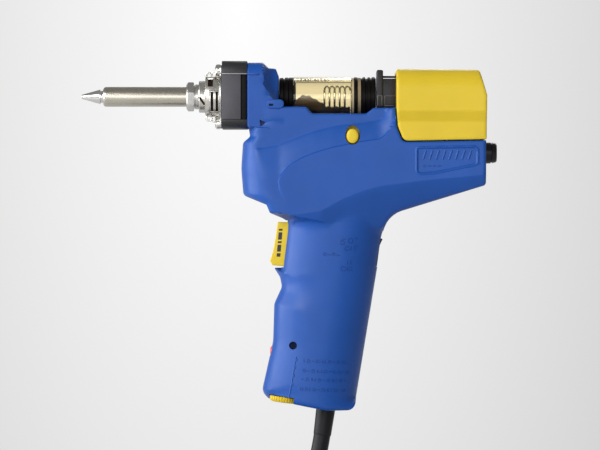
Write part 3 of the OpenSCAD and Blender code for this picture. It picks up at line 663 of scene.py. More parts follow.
def left_cutters():
    """Wheel pocket and its window, holder slot, button oval, and the hole for the trimmer."""
    oval = [(BUTTON_X + 3.3 * cos(a), 80.4 + (3.95 if sin(a) < 0 else 4.9) * sin(a))
            for a in around(40)]
    return [
        leaned(swung(rod(-51, -38.5, 6.7, 64), -90, "Y"), *WHEEL),
        leaned(box((-16.7, -29, -51), (-7.3, -9.2, -38.5), 0)),
        slab([(28, 80.4), (42, 80.4), (42, 85.6), (28, 85.6)], -1, 5.7, 10.6),
        slab(oval, -1, 11, 30),
        moved(swung(rod(0, 20, 1.8), -90, "Z"), -13.0, -6, -13.6),
    ]


def right_cutters():
    """Counterbores of the housing screws."""
    return [moved(swung(rod(0, 20, COUNTERBORE_R), 90, "Z"), x, screw_seat(x, z), z) for x, z in SCREWS]


def housing_cutters(side):
    cuts = [
        moved(rod(-19.5, 40, 9.4, 96), 0, 0, AXIS_Z),
        slab([(-26, 21.3), (-13, 21.3), (-8, 26), (-8, 48.5), (-15.5, 48.5), (-15.9, 42.3), (-26, 42.3)],
             side, -1, 7.3),
        moved(rod(-26, -12, 2.5), 0, 0, LAMP_Z),
        slab(NICK, side, 14, 20),
        slab([(-23.7, 93.9), (-21.9, 93.9), (-21.9, 94.8), (-23.7, 94.8)], side, 14, 20),
        leaned(slab([(10, 24.8), (30, 24.8), (30, 41.2), (10, 41.2)], side, -1, 6)),
    ]
    return cuts + (left_cutters() if side < 0 else right_cutters())


for name, side in (("left", -1), ("right", 1)):
    bm = carved(pillow(OUTLINE, housing_height, side, RINGS, 1.6, FEATURES), housing_cutters(side))
    piece("shell_" + name, open_middle(bm), BLUE, ["housing_" + name], 28)


# ---- cord

CORD_R = 3.8
CORD_BORE = 3.83       # bore of what the cord runs through
COIL_X = -40.4         # middle of the coil


def cord_route():
    """The cord's centreline in mm: down from the grip, round the coil, and along the surface to the plug."""
    lead = [
        (3.7, 0, -28.8), (1.8, 0, -42.8), (0.4, 0, -53), (-0.8, 0, -60), (-2.0, 0, -67),
        (-2.5, 1.4, -78), (-2.7, 4.6, -89), (-3.2, 8, -96), (-4.4, 12.2, -102.5),
        (-6.4, 17, -108.4), (-9.4, 22, -113.6), (-13.6, 27, -118), (-19.1, 31.5, -121.4),
        (-25.6, 35, -124), (-32.9, 37.3, -125.5),
    ]
    inner, mid, outer, high, low = 38.0, 45.7, 53.4, -126.0, -133.7
    cells = [(inner, high), (inner, low), (mid, low), (mid, high), (outer, high), (outer, low)]
    moves = [(350, 400), (630, 710), (940, 990), (1220, 1300), (1530, 1580)]

    def at(a):
        r, z = cells[0]
        for (a0, a1), (r1, z1) in zip(moves, cells[1:]):
            t = float(step(a0, a1, a))
            r, z = r + (r1 - r) * t, z + (z1 - z) * t
        return (*polar(COIL_X, 0, r, radians(a)), z)

    turns = [at(a) for a in range(90, 1701, 10)]
    tail = [(-40.4, -53.4, -133.7), (-30, -53.4, -133.9), (-21, -53, -133.5), (-12, -52, -132),
            (-3, -50.3, -129.7), (6, -48.6, -128.3), (16.8, -46.7, -128.3)]
    return lead + turns + tail


def smooth_route(points, n):
    """Catmull-Rom through the points, n steps between neighbours."""
    p = [Vector(q) for q in points]
    out = []
    for i in range(len(p) - 1):
        a, b, c, d = p[max(i - 1, 0)], p[i], p[i + 1], p[min(i + 2, len(p) - 1)]
        for t in (j / n for j in range(n)):
            bend = (2 * a - 5 * b + 4 * c - d) * t * t + (3 * b - a - 3 * c + d) * t ** 3
            out.append(0.5 * ((2 * b) + (c - a) * t + bend))
    return out + [p[-1]]


def cord_boot():
    """Sleeve where the cord leaves the grip, tapering below its flange."""
    sleeve = [(29, CORD_BORE), (29, 4.4), (37.2, 4.4), (37.2, 6.3), (38.9, 6.3), (38.9, 4.45), (40.5, 4.4),
              (45, 4.25), (50, 4.1), (53.2, 4.02), (53.8, 3.98), (54, 3.9), (54, CORD_BORE)]
    return leaned(swung(lathe(sleeve, 48, True), 90, "Y"), 7.5)


def at_plug(bm):
    bm.transform(Matrix.Translation((6, -48.6, FLOOR_Z)) @ Matrix.Rotation(radians(10), 4, "Z"))
    return bm


def plug_moulding():
    """A moulded body with finger grooves, and a tapered relief with ribs."""
    sections = [(20, -4.0), (20.6, -2.2), (22, -1.0), (24.5, -0.2), (28, 0)]
    for x in (33, 37, 41):
        sections += [(x, 0), (x + 0.4, -0.7), (x + 1.4, -0.7), (x + 1.8, 0)]
    sections += [(46, 0), (50, 0), (50.6, -0.3), (51, -1.0)]
    body = []
    for x, grow in sections:
        w, low, high = 12.5 + grow, -grow, 20 + grow
        outline = rounded([(-w, low, 3), (w, low, 3), (w, high, 7), (-w, high, 7)])
        body.append([(x, a, b) for a, b in outline])
    relief = [(0, CORD_BORE), (0, 4.3)]
    for i in range(5):
        s, r = 1.5 + 3.4 * i, 4.35 + 0.28 * i
        relief += [(s, r), (s + 0.4, r - 0.45), (s + 1.2, r - 0.45), (s + 1.6, r + 0.1)]
    relief += [(20.5, 5.8), (20.5, CORD_BORE)]
    return at_plug(joined(skin(body), moved(lathe(relief, 40, True), 0, 0, 10)))


def plug_blades():
    """Two flat blades and a round earth pin."""
    blades = [box((51, s * 6.35 - 0.75, 12.2), (67, s * 6.35 + 0.75, 18.6), 0.35) for s in (-1, 1)]
    earth = [(51, 0), (51, 2.4), (67.4, 2.4), (68.6, 1.9), (69, 1.0), (69, 0)]
    return at_plug(joined(*blades, moved(lathe(earth, 32), 0, 0, 3.5)))


def cord_strap():
    """A flat strap round the coil's section."""
    a = radians(210)

    def loop(off, r0, z0, r1, z1, corner):
        outline = rounded([(r0, z0, corner), (r1, z0, corner), (r1, z1, corner), (r0, z1, corner)])
        return [(COIL_X + r * cos(a) - off * sin(a), r * sin(a) + off * cos(a), z)
                for r, z in outline]

    inner, outer, half = (34.0, -137.7, 57.4, -121.9, 1.2), (33.4, -138.3, 58.0, -121.4, 1.6), 2.4
    loops = [loop(-half, *inner), loop(-half, *outer), loop(half, *outer), loop(half, *inner)]
    return bevel(skin(loops, True), 0.25)


ROUTE = smooth_route(cord_route(), 2)
cord = piece("mains_cord", tube(ROUTE, CORD_R, 16), CORD, ["cord_lead", "cord_coil", "cord_tail"], 40)
piece("cord_boot", cord_boot(), CORD, ["cord_sleeve"], 40)
plug = piece("plug_moulding", plug_moulding(), CORD, ["plug_body"], 35)
pins = piece("plug_blades", plug_blades(), BRASS, ["plug_pins"], 35)
tie = piece("cord_strap", cord_strap(), SATIN_BLACK, ["cord_tie"], 30)


# ---- carried-over pieces

FINISH = [
    (IVORY, "heating_element connecting_rod pump_chamber pump_head"),
    (BRIGHT, "vacuum_pipe motor_shaft pump_head_screws trigger_pin cover_screws"),
    (SPRING, "holder_spring release_spring trigger_spring"),
    (RUBBER, "vacuum_hose exhaust_duct diaphragm valve_plate"),
    (SATIN_BLACK, "pump_base trigger_switch power_switch board_parts temperature_pot cord_clamp"),
    (PAD, "filter_pad"), (FELT, "exhaust_filter"), (BARREL, "motor"), (BRASS, "crank"),
    (GREEN, "circuit_board"), (BLACK, "trimmer"), (RED, "lamp_led"),
]
for material, names in FINISH:
    for ob in (NODES[name] for name in names.split()):
        if not ob.material_slots:
            ob.data.materials.append(material)
        for ms in ob.material_slots:
            ms.material = material


# ---- hot end

SLIT = Matrix.Translation((-54.0, 0, 96.4)) @ Matrix.Rotation(radians(-35), 4, "Y")


def side_boxes(s, near, far, rows, width=0.0):
    """Boxes on side s between two distances from the middle plane, one for each x0, z0, x1, z1."""
    y0, y1 = on_side(s, near, far)
    return [box((x0, y0, z0), (x1, y1, z1), width) for x0, z0, x1, z1 in rows]


def union_nut():
    """Hexagonal nut with chamfered corners, turned a little on its thread, and a plain neck."""
    across, bore, turn, n = 13.8, 4.3, radians(13), 48
    sixth = pi / 6
    rings = []
    for x, wide in [(-61.2, 10.9), (-60.5, 13.2), (-59.9, 13.8), (-58.4, 13.8), (-57.8, 13.0)]:
        ring = []
        for a in around(n):
            flat_r = across / 2 * cos(sixth) / cos((a - turn + sixth) % (pi / 3) - sixth)
            ring.append((x, *polar(0, AXIS_Z, min(flat_r, wide / 2), a)))
        rings.append(ring)
    rings += [[(x, *polar(0, AXIS_Z, bore, a)) for a in around(n)] for x in (-57.8, -61.2)]
    neck = turned([(-57.9, bore), (-57.9, 5.35), (-57.3, 5.35), (-57.1, 5.65), (-55.9, 5.65), (-55.6, 5.4),
                   (-55.6, bore)], 64, True)
    return joined(skin(rings, True), neck)


def in_slit(low, high):
    """A box in the frame of the collar's diagonal slit."""
    bm = box(low, high, 0)
    bm.transform(SLIT)
    return bm


def cover_cup():
    """A dished cup with three windows on each side."""
    cup = turned([
        (-52.7, 6.1), (-52.7, 8.3), (-52.4, 8.85), (-51.9, 9.0), (-46.4, 9.2), (-46.1, 9.6), (-45.8, 9.6),
        (-45.8, 8.5), (-51.5, 8.3), (-52.0, 8.1), (-52.0, 6.1),
    ], 80, True)
    windows = [(-51.4, 102.9, -49.1, 106.9), (-50.1, 91.9, -48.95, 100.5), (-47.85, 91.9, -46.75, 100.5)]
    return carved(cup, side_boxes(-1, 3, 12, windows) + side_boxes(1, 3, 12, windows))


def window_rim(s):
    """A pressed rim round the lower windows, in short runs that follow the cup."""
    rim = [(-50.6, 91.3), (-46.3, 91.3), (-46.3, 101.1), (-50.6, 101.1)]
    half, runs, out = 0.22, 4, []
    for (x0, z0), (x1, z1) in zip(rim, rim[1:] + rim[:1]):
        xs = (min(x0, x1) - half, max(x0, x1) + half)
        low, high = min(z0, z1) - half, max(z0, z1) + half
        for k in range(runs):
            zs = [low + (high - low) * i / runs for i in (k, k + 1)]
            ys = [sqrt(9.25 ** 2 - min(9.2, abs(z - AXIS_Z)) ** 2) for z in zs]
            corners = [(x, s * (y + d), z) for x in xs for z, y in zip(zs, ys) for d in (-0.5, 0.08)]
            out.append(as_bm(corners, BOX_FACES))
    return out


def cover_plate():
    """Plate with an ear for a screw above and below the cup."""
    half = [(4, 84.0, 2.2), (4, 89.5, 2), (8.5, 92, 6), (10.5, 98.5, 9), (8.5, 105, 6), (4, 107.5, 2),
            (4, 113.0, 2.2)]
    return prism(rounded(half + [(-y, z, r) for y, z, r in half[::-1]]), -46.1, -45.15, "x", 0.25)


def cover_tabs(s):
    """Bent tabs over the cup (s = 1) or under it: where each lies across, and its line in x and radius."""
    sheet, half, out = 0.36, 1.1, []
    for y, line in [
        (-3.1, [(-52.2, 8.6), (-52.5, 9.6), (-52.1, 10.5), (-51.1, 10.8), (-50.1, 10.3), (-49.6, 9.4)]),
        (2.6, [(-52.0, 8.6), (-52.2, 9.8), (-51.4, 10.9), (-50.2, 10.9), (-49.5, 9.9)]),
        (0.0, [(-49.9, 9.2), (-49.9, 10.4), (-49.0, 11.4), (-47.6, 11.3), (-46.9, 12.4), (-46.0, 12.8)]),
        (-3.6, [(-47.9, 9.0), (-48.2, 10.2), (-47.4, 11.2), (-46.4, 11.2), (-45.9, 10.2)]),
    ]:
        upper, lower = [], []
        for i, (a, b) in enumerate(line):
            c, d = line[max(i - 1, 0)], line[min(i + 1, len(line) - 1)]
            n = unit((-(d[1] - c[1]), d[0] - c[0]))
            upper.append((a + n[0] * sheet, AXIS_Z + s * (b + n[1] * sheet)))
            lower.append((a - n[0] * sheet, AXIS_Z + s * (b - n[1] * sheet)))
        out.append(prism(upper + lower[::-1], s * y - half, s * y + half, "y", 0.16))
    return out


def pan_screw(r, h, length, cross=False):
    """Head towards -X with its seat at x = 0 and its shank behind, slotted or crossed."""
    head = lathe([(0, 0), (0, r), (-h * 0.55, r), (-h * 0.85, r * 0.86), (-h, r * 0.55), (-h, 0)], 40)
    long, half, deep = (r * 0.62, 0.36, 0.4) if cross else (r + 1, 0.42, 0.45)
    cuts = [box((-h - 0.5, -long, -half), (-h * deep, long, half), 0)]
    if cross:
        cuts.append(box((-h - 0.5, -half, -long), (-h * deep, half, long), 0))
    return joined(carved(head, cuts), rod(0, length, 1.4, 24))


def shell_screw(x, z):
    bm = swung(pan_screw(2.8, 1.9, 14, True), -90, "Z")
    return moved(bm, x, screw_seat(x, z), z)


def block_part(low, high, x0, x1, inset=0.0):
    """The insulating block between two heights: flat cheeks that round in at the crown and the foot."""
    sides = []
    for z in np.linspace(low, high, 22):
        up, down = np.clip((z - 108.9) / 5.4, 0, 1), np.clip((87.5 - z) / 3.6, 0, 1)
        crown, foot = 5.6 * (1 - sqrt(1 - up * up)), 4.6 * (1 - sqrt(1 - down * down))
        sides.append((17.1 - inset - crown - foot, z))
    bm = prism(sides + [(-y, z) for y, z in sides[::-1]], x0, x1, "x")
    return carved(bm, [moved(rod(-60, -30, 4.5, 48), 0, 0, AXIS_Z)])


piece("suction_nozzle", turned([
    (-108.7, 0.5), (-108.7, 0.86), (-108.6, 0.95), (-101, 3.1), (-100.5, 3.25), (-100.1, 3.2), (-99.9, 2.75),
    (-99, 2.75), (-98.9, 3.5), (-98.5, 3.68), (-92, 3.68), (-92, 1.3), (-102.7, 1.3), (-102.7, 0.5),
], 64, True), BRIGHT, ["nozzle"], 25)
piece("barrel_tube", turned([
    (-98.6, 3.78), (-98.6, 3.95), (-98.3, 4.25), (-97.9, 4.42), (-97.4, 4.48), (-61.2, 4.48), (-61.2, 4.28),
    (-53.5, 4.28), (-53.5, 3.78),
], 96, True), BARREL, ["barrel"], 25)
piece("union_nut", union_nut(), NICKEL, ["barrel_nut"], 20)
collar = [(-55.55, 4.31), (-55.55, 6.9), (-55.25, 7.2), (-53.05, 7.2), (-52.75, 6.95), (-52.75, 4.31)]
collar = carved(turned(collar, 64, True), [in_slit((-0.5, -12, -2.3), (0.5, -3.4, 2.3))])
piece("collar_ring", collar, STAMPED, ["clamp_collar"], 25)
liner = turned([(-51.4, 7.3), (-51.4, 8.0), (-46.3, 8.2), (-46.3, 7.3)], 64, True)
slit_floor = in_slit((-0.49, -5.9, -1.9), (0.49, -4.9, 1.9))
piece("cover_liner", joined(liner, slit_floor), SOOT, (), 30)
stamping = [cover_cup(), cover_plate(), *window_rim(-1), *window_rim(1), *cover_tabs(-1), *cover_tabs(1)]
piece("cover_stamping", joined(*stamping), STAMPED, ["element_cover"], 28)
piece("cover_pan_screws", joined(*[moved(pan_screw(2.7, 2.1, 17), -46.15, 0, AXIS_Z + z) for z in (-12, 12)]),
      BRIGHT, ["element_screws"], 28)
piece("shell_screws", joined(*[shell_screw(x, z) for x, z in SCREWS]), BRIGHT, ["housing_screws"], 28)

# the crown and the foot reach back over the gasket; they are a darker copy of the block's phenolic, as
# painted shade, with a pale grey strip under the crown as a painted highlight on the ledge
BLOCK_X, CROWN_X = -45, -33.55
ledge = [box((-44.9, y - 0.4, 108.1), (-33.6, y + 0.4, 108.6), 0.15) for y in (-17.3, 17.3)]
# crown and foot in the darker phenolic copy, as painted shade
caps = joined(block_part(108.15, 114.3, BLOCK_X, CROWN_X), block_part(83.9, 87.85, BLOCK_X, CROWN_X))
# grey strips on both sides of the block: a painted highlight along the ledge
piece("block_ledge", joined(*ledge), LEDGE_HIGHLIGHT_GREY, (), 30)
piece("insulating_block", block_part(87.9, 108.1, BLOCK_X, -36.4), PHENOLIC, ["front_block"], 25)
piece("block_caps", caps, PHENOLIC_SHADED, (), 25)
piece("recessed_gasket", block_part(85.0, 113.2, -36.35, CROWN_X, 0.9), RUBBER, ["heat_gasket"], 25)


# ---- filter cartridge

def glass_print():
    """Print on the upper side of the glass: plain dashes."""
    out = []
    for i, w in enumerate((0.5, 1.1, 0.8, 0.4, 1.2, 0.9, 0.5, 1.0, 0.7)):
        x, angles = -9.6 + 1.5 * i, (radians(52), radians(60 if i % 3 else 66))
        corners = [(x + dx, -r * cos(a), AXIS_Z + r * sin(a))
                   for a in angles for dx in (0, w) for r in (9.01, 9.04)]
        out.append(as_bm(corners, BOX_FACES))
    return joined(*out)


def ringed_coil(r, wire, x0, pitch, turns, level=0.72):
    """Rings that stand square to the axis for that share of a turn, and step along on the far side."""
    steps, pts = 32, []
    for i in range(turns * steps + 1):
        t = i / steps
        f = t % 1
        advance = float(step(level, 1, f))
        a = 2 * pi * (f + 0.14)
        pts.append((x0 + (int(t) + advance) * pitch, -r * sin(a), AXIS_Z + r * cos(a)))
    return tube(pts, wire)


def dust_heap():
    """Grey dust in the lower part of the glass, heaped toward the nozzle."""
    rows, cols, r = 44, 26, 7.3
    rings = []
    for i in range(rows + 1):
        x = -12.2 + 25.0 * i / rows
        heap = along(x, [(-12.2, -2.4), (-10.5, -0.4), (-9, 0.6), (-6, 0.5), (-3, -1.0), (0, -2.6), (2, -4.2),
                         (13, -4.6)])
        top = heap + (0.22 * sin(2.1 * x + 0.6) + 0.13 * sin(5.3 * x)) - 0.2
        half_w = sqrt(r ** 2 - top ** 2)
        ring = []
        for u in (-1 + 2 * j / cols for j in range(cols + 1)):
            y = u * half_w
            ring.append((x, y, AXIS_Z + (top + 0.22 * sin(3.1 * y + 1.3 * x) * (1 - u * u))))
        for u in (1 - 2 * j / cols for j in range(cols + 1)):
            a = -pi / 2 + u * (pi / 2 + atan2(top, half_w))
            ring.append((x, *polar(0, AXIS_Z, r, a)))
        rings.append(ring)
    bm = skin(rings)
    bmesh.ops.remove_doubles(bm, verts=bm.verts, dist=0.001)
    bmesh.ops.recalc_face_normals(bm, faces=bm.faces)
    return bm


def holder_ridges(s):
    """Outline of the latch, in relief on the holder's flange and body."""
    flange = [(25.0, 94.2, 25.35, 98.9), (26.9, 94.2, 27.25, 98.9), (25.0, 98.6, 27.25, 98.95)]
    body = [(28.2, 98.5, 33.2, 98.85), (28.2, 94.4, 28.55, 98.85), (28.2, 94.1, 32.8, 94.45)]
    return side_boxes(s, 8.9, 9.35, flange, 0.12) + side_boxes(s, 8.0, 8.5, body, 0.12)


def cartridge_holder():
    """Flange, body and rail, with the leg and the bar that the release key holds."""
    flange = rounded([(24.7, 93.5, 0.6), (27.6, 93.5, 0.6), (27.6, 110.4, 0.7), (24.7, 110.4, 0.7)], 4)
    body = rounded([(27.2, 93.6, 0.3), (38, 93.6, 0.5), (38, 106.5, 1.5), (27.2, 106.5, 0.3)], 4)
    return joined(
        prism(flange, -9, 9, "y", 0.5, 3), prism(body, -8.2, 8.2, "y", 0.7, 3),
        box((27.2, -3, 107.1), (36, 3, 107.9), 0.2), box((35.8, -10, 81), (38, -6.2, 96), 0.2),
        prism([(17.5, -9.6), (36.5, -9.6), (36.5, -6.2), (10.7, -6.2)], 81, 85, "z", 0.2))


piece("front_seal_plug", turned([
    (-19.3, 1.35), (-19.3, 7.6), (-19.0, 8.5), (-17.5, 8.6), (-17.2, 8.1), (-16.8, 8.1), (-16.5, 8.7),
    (-15.3, 8.75), (-15.0, 8.45), (-14.7, 8.75), (-13.2, 8.75), (-12.95, 8.6), (-12.95, 7.3), (-11.9, 7.25),
    (-11.7, 6.6), (-11.7, 1.35),
], 72, True), RUBBER, ["front_seal"], 30)
piece("glass_print", glass_print(), INK, (), 30)
glass = [(-12.9, 7.4), (-12.9, 8.8), (-12.7, 9.0), (13.2, 9.0), (13.4, 8.8), (13.4, 7.4)]
piece("glass_tube", turned(glass, 96, True), GLASS, ["filter_tube"], 30)
piece("catch_coil", ringed_coil(4.7, 0.45, 1.2, 2.3, 5), SPRING, ["solder_spring"], 40)
piece("caught_dust", dust_heap(), SMOKE, (), 50)
baffle = [(13.45, 3.0), (13.45, 8.2), (13.6, 8.5), (14.4, 8.5), (14.55, 8.3), (14.55, 3.0)]
piece("baffle_ring", turned(baffle, 72, True), CERAMIC, ["baffle_plate"], 30)
piece("rear_seal_plug", joined(
    turned([(14.6, 7.0), (14.6, 8.75), (14.8, 8.9), (16.0, 8.9), (16.18, 8.75), (16.18, 7.0)], 72, True),
    turned([(17.6, 2.05), (17.6, 8.2), (17.8, 8.4), (18.3, 8.4), (18.5, 8.95), (19.5, 8.95), (19.7, 8.3),
            (20.6, 8.3), (20.8, 8.9), (21.7, 8.9), (21.9, 8.4), (22.5, 8.4), (22.7, 9.0), (23.8, 9.0),
            (24.1, 8.4), (24.4, 8.3), (24.4, 2.05)], 72, True),
), RUBBER, ["rear_seal"], 30)
piece("cartridge_holder", cartridge_holder(), BLACK, ["back_holder"], 30, "back_holder")
# the ridges are a lighter black than the holder: a painted highlight along the latch's edges
piece("holder_ridges", joined(*holder_ridges(-1), *holder_ridges(1)), RIDGE_HIGHLIGHT_BLACK, (), 30, "back_holder")


# ---- pump cover

COVER = rounded([
    (33.35, 93.4, 0), (33.4, 110.5, 1.2), (70.5, 110.1, 1.5), (73.8, 98.6, 1.2), (73.7, 78.9, 0.6),
    (36.6, 78.15, 3), (33.95, 84.8, 3)])
COVER_EDGE = dense(COVER, OUTLINE_GAP, True)
COVER_STEPS = [[(30, 86.9), (80, 86.9)], [(30, 91.4), (80, 91.4)]]


def cover_height(p):
    z = p[:, 1]
    h = along(z, [(70, 22.3), (86.7, 22.3), (87.2, 22.5), (91.1, 24.8), (91.7, 25), (120, 25)])
    k = np.clip((z - 101.7) / 9.05, 0, 1)
    h = h - 9 * (1 - np.sqrt(1 - k * k))
    return fillet(h, distance(p, COVER_EDGE), 0.9)


def cover_half(s):
    """One side of the cover, hollow, with the dimple of its screw."""
    bm = pillow(COVER, cover_height, s, [0.15, 0.35, 0.6, 0.95, 1.5], 1.7, COVER_STEPS, 0.06)
    cavity = [(34.9, 76), (34.9, 108.3), (69.4, 108.0), (72.2, 98.2), (72.2, 76)]
    dimple = [(72.2, 0), (72.2, 1.5), (73.76, 3), (80, 3), (80, 0)]
    cuts = side_boxes(s, 0, 9.6, [(20, 79.2, 36, 108.4)])
    cuts += [slab(cavity, s, -1, 20.9), moved(lathe(dimple, 32), 0, 14 * s, 90)]
    if s < 0:
        cuts.append(box((20, -11, 77), (42, -5.6, 96), 0))
    return open_middle(carved(bm, cuts))


def exhaust_button():
    """Stepped cap with three slots across its face."""
    cap = lathe([(67.5, 0), (67.5, 2.8), (73.55, 2.8), (73.55, 4.95), (76.3, 4.85), (76.5, 4.4), (76.8, 4.4),
                 (77.0, 4.7), (78.6, 4.4), (79.1, 3.9), (79.1, 0)], 48)
    slots = [box((77.9, -3.2, z - 0.35), (79.7, 3.2, z + 0.35), 0) for z in (-1.5, 0, 1.5)]
    return moved(carved(cap, slots), 0, 0, 73.2)


piece("cover_shell", joined(cover_half(-1), cover_half(1)), YELLOW, ["pump_cover"], 26)
piece("exhaust_button", exhaust_button(), BLACK, ["exhaust_cap"], 28)


# ---- controls

TRIGGER = rounded([
    (-19.9, 41.9, 0.5), (-21.0, 34.3, 8), (-22.1, 28.4, 4), (-23.4, 24.4, 0.7), (-22.4, 22.4, 0.5),
    (-14.2, 21.6, 0.5), (-12.6, 25, 0.6), (-12.6, 40, 0), (-10.9, 43, 0), (-14.6, 43, 0), (-15.8, 41.8, 0.4)])


def trigger_marks():
    """Plain printed bars down both sides of the trigger."""
    half, bars = 0.85, []
    for lo, hi in [(26.2, 27.8), (28.5, 31.6), (32.3, 33.2), (33.9, 37.2), (37.9, 38.8)]:
        a, b = along((lo, hi), [(26, -19.6), (39, -18.5)])
        for s in (-1, 1):
            bar = [(a - half, lo), (a + half, lo), (b + half, hi), (b - half, hi)]
            bars.append(prism(bar, *on_side(s, 6.9, 7.06), "y", 0.03, 1))
    return joined(*bars)


def release_key():
    """A domed oval with a flange, and an arm behind it."""
    dome = []
    for y, k in [(-21.2, 0.55), (-21.15, 0.72), (-20.9, 0.9), (-20.4, 0.985), (-19.8, 1), (-14.9, 1),
                 (-14.9, 1.5), (-13.7, 1.5), (-13.7, 1.0), (-12, 1.0)]:
        dome.append([(BUTTON_X + 2.75 * k * cos(a), y, 80.3 + 3.4 * k * sin(a)) for a in around(40)])
    arm = prism([(10, -12.5), (17, -12.5), (17, -9.6), (10, -6.1)], 81.4, 84.4, "z", 0.2)
    return joined(skin(dome), arm)


def temperature_dial():
    """Wheel with a crowned and knurled rim, on a plain shaft."""
    rim, n = [], 180
    for w, r in [(-41.4, 4.2), (-41.35, 5.0), (-41.1, 5.7), (-40.5, 6.15), (-39.9, 6.3), (-39.1, 6.3),
                 (-38.8, 6.0)]:
        notched = [r - (0.3 if k % 6 in (0, 1) and r > 5.5 else 0) for k in range(n)]
        rim.append([(*polar(0, 0, radius, a), w) for radius, a in zip(notched, around(n))])
    shaft = swung(rod(-32.1, -39, 1.5, 24), -90, "Y")
    return leaned(joined(skin(rim), shaft), *WHEEL)


def rocker_cap():
    profile = [(-2, -2.2), (1.6, -5.1), (3.1, -5.1), (2.3, 0), (3.1, 5.1), (1.6, 5.1), (-2, 2.2)]
    return leaned(swung(prism(profile, -4.2, 4.2), 8, "Y"), 18.9, 0, 33)


piece("trigger_lever", prism(TRIGGER, -7, 7, "y", 0.7, 3), YELLOW, ["trigger"], 30, "trigger")
piece("trigger_marks", trigger_marks(), INK, (), 30, "trigger")
piece("release_key", release_key(), YELLOW, ["release_button"], 30, "release_button")
piece("temperature_dial", temperature_dial(), YELLOW, ["temperature_wheel"], 30, "temperature_wheel")
piece("rocker_cap", rocker_cap(), BLACK, ["power_rocker"], 30, "power_rocker")
lamp = [(-18.6, 0), (-18.6, 3.2), (-19.5, 3.2), (-19.5, 2.4), (-22.3, 2.4), (-22.9, 2.15), (-23.3, 1.5),
        (-23.4, 0.7), (-23.4, 0)]
piece("lamp_dome", moved(lathe(lamp, 40), 0, 0, LAMP_Z), RED, ["lamp_lens"], 40)


# ---- raised marks on the housing

def ribbon(points, width, rise):
    """A raised line that follows the left side of the housing."""
    line = np.array(dense(points, 0.5))
    across = [(-0.5, -0.15), (-0.42, 0.55), (-0.25, 0.9), (0, 1.0), (0.25, 0.9), (0.42, 0.55), (0.5, -0.15)]
    flat = np.array([q + m * a * width for q, m in zip(line, normals(line, False)) for a, _ in across])
    y = housing_height(flat) + np.tile([h * rise for _, h in across], len(line))
    k, c = len(across), len(line)
    faces = [[i * k + j, i * k + j + 1, (i + 1) * k + j + 1, (i + 1) * k + j]
             for i in range(c - 1) for j in range(k - 1)]
    faces += [list(range(k)), list(range((c - 1) * k, c * k))]
    return as_bm([(a, -b, d) for (a, d), b in zip(flat, y)], faces)


def circle(x, z, r, n=14):
    return [polar(x, z, r, 2 * pi * i / n) for i in range(n + 1)]


def setting_marks():
    """Upper and lower settings in plain rings and strokes, with a dashed row between them."""
    upper = [
        circle(12.6, 33.4, 1.0), [(9.3, 34.2), (10.6, 34.2)], circle(9.0, 32.6, 0.9),
        [(14.6, 34.4), (15.6, 34.4)], circle(11.0, 30.0, 0.9), [(12.9, 29.2), (12.9, 31.0)],
        [(14.4, 31.0), (16.2, 31.0)], [(14.6, 29.0), (14.6, 30.4)],
    ]
    lower = [
        [(11.2, 24.6), (11.2, 22.9)], [(12.9, 24.6), (12.9, 22.9)], circle(9.2, 20.9, 1.0),
        [(11.2, 21.5), (11.2, 20.0)], [(12.2, 21.5), (13.4, 21.5)], [(12.2, 20.3), (13.4, 20.3)],
    ]
    row = []
    for k, x in enumerate((0.6, 2.6, 4.6, 6.6)):
        dash = [(x, 27.4 - 0.12 * k), (x + 1.3, 27.2 - 0.12 * k)]
        row.append(dash if k % 2 else circle(x + 0.6, 27.4, 0.62, 10))
    out = [ribbon(line, 0.34, 0.3) for line in upper]
    out += [ribbon(line, 0.3, 0.28) for line in row]
    return out + [ribbon(line, 0.34, 0.3) for line in lower]


def index_line():
    """Line down to the wheel, with a bead at each row of the scale."""
    line = [(-11.6, -18.6), (-12.3, -22), (-12.9, -25.6), (-13.5, -29.4), (-14.2, -33.2), (-14.9, -37.2)]
    beads = [ribbon(circle(x - 0.1, z - 1.4, 0.42, 10), 0.7, 0.3) for x, z in line[:4]]
    return [ribbon(line, 0.62, 0.3), *beads]


def scale_rows():
    """Rows of plain strokes, rings, dashes and peaks, which drop a little toward the back."""
    out = []
    for row, (z0, x0) in enumerate([(-20.4, -8.2), (-24.8, -8.6), (-28.6, -9.2), (-33.0, -9.8)]):
        x, k = x0, row
        while x < x0 + 20:
            z = -0.045 * (x - x0)
            ring, dash = circle(x + 0.5, z0 + z, 0.66, 10), [(x, z0 + z), (x + 1.0, z0 + z)]
            stroke = [(x, z0 + 0.8 + z), (x, z0 - 0.8 + z)]
            peak = [(x, z0 - 0.7 + z), (x + 0.5, z0 + 0.8 + z), (x + 1.1, z0 - 0.7 + z)]
            line, width, pace = ((stroke, 0.3, 1.5), (ring, 0.28, 2.1), (dash, 0.3, 1.9), (ring, 0.28, 2.1),
                                 (peak, 0.28, 2.0))[k % 5]
            out.append(ribbon(line, width, 0.26))
            x += pace
            k += 1
    return out


def frame_hatching():
    """Plain hatching in the frame on the pump end, and a row of dashes below it."""
    hatch = [ribbon([(x, 69.9), (x + 1.3, 73.9)], 1.0, 0.3) for x in (45.2 + 2.9 * i for i in range(8))]
    return hatch + [ribbon([(x, 67.0), (x + 1.2, 67.0)], 0.8, 0.26) for x in (45.2, 47.4, 49.6, 51.8)]


def lug(s):
    """Lug beside the front seal, with a slot in its outer face."""
    outline = rounded([(-25, 92.8, 1.9), (-17.0, 92.8, 1.95), (-17.0, 96.8, 1.95), (-25, 96.8, 1.9)], 8)
    slot = side_boxes(s, 15.2, 20, [(-23.8, 93.8, -21.8, 94.9)])
    return carved(prism(outline, *on_side(s, 14.5, 18.75), "y", 0.4, 3), slot)


def front_ledge(s):
    """Short ledge on the front section, in line with the one on the block."""
    outline = rounded([(-33.5, 107.9, 0.2), (-28.4, 107.9, 0.3), (-28.4, 108.7, 0.3), (-33.5, 108.7, 0.2)], 3)
    return prism(outline, *on_side(s, 16.8, 18.25))


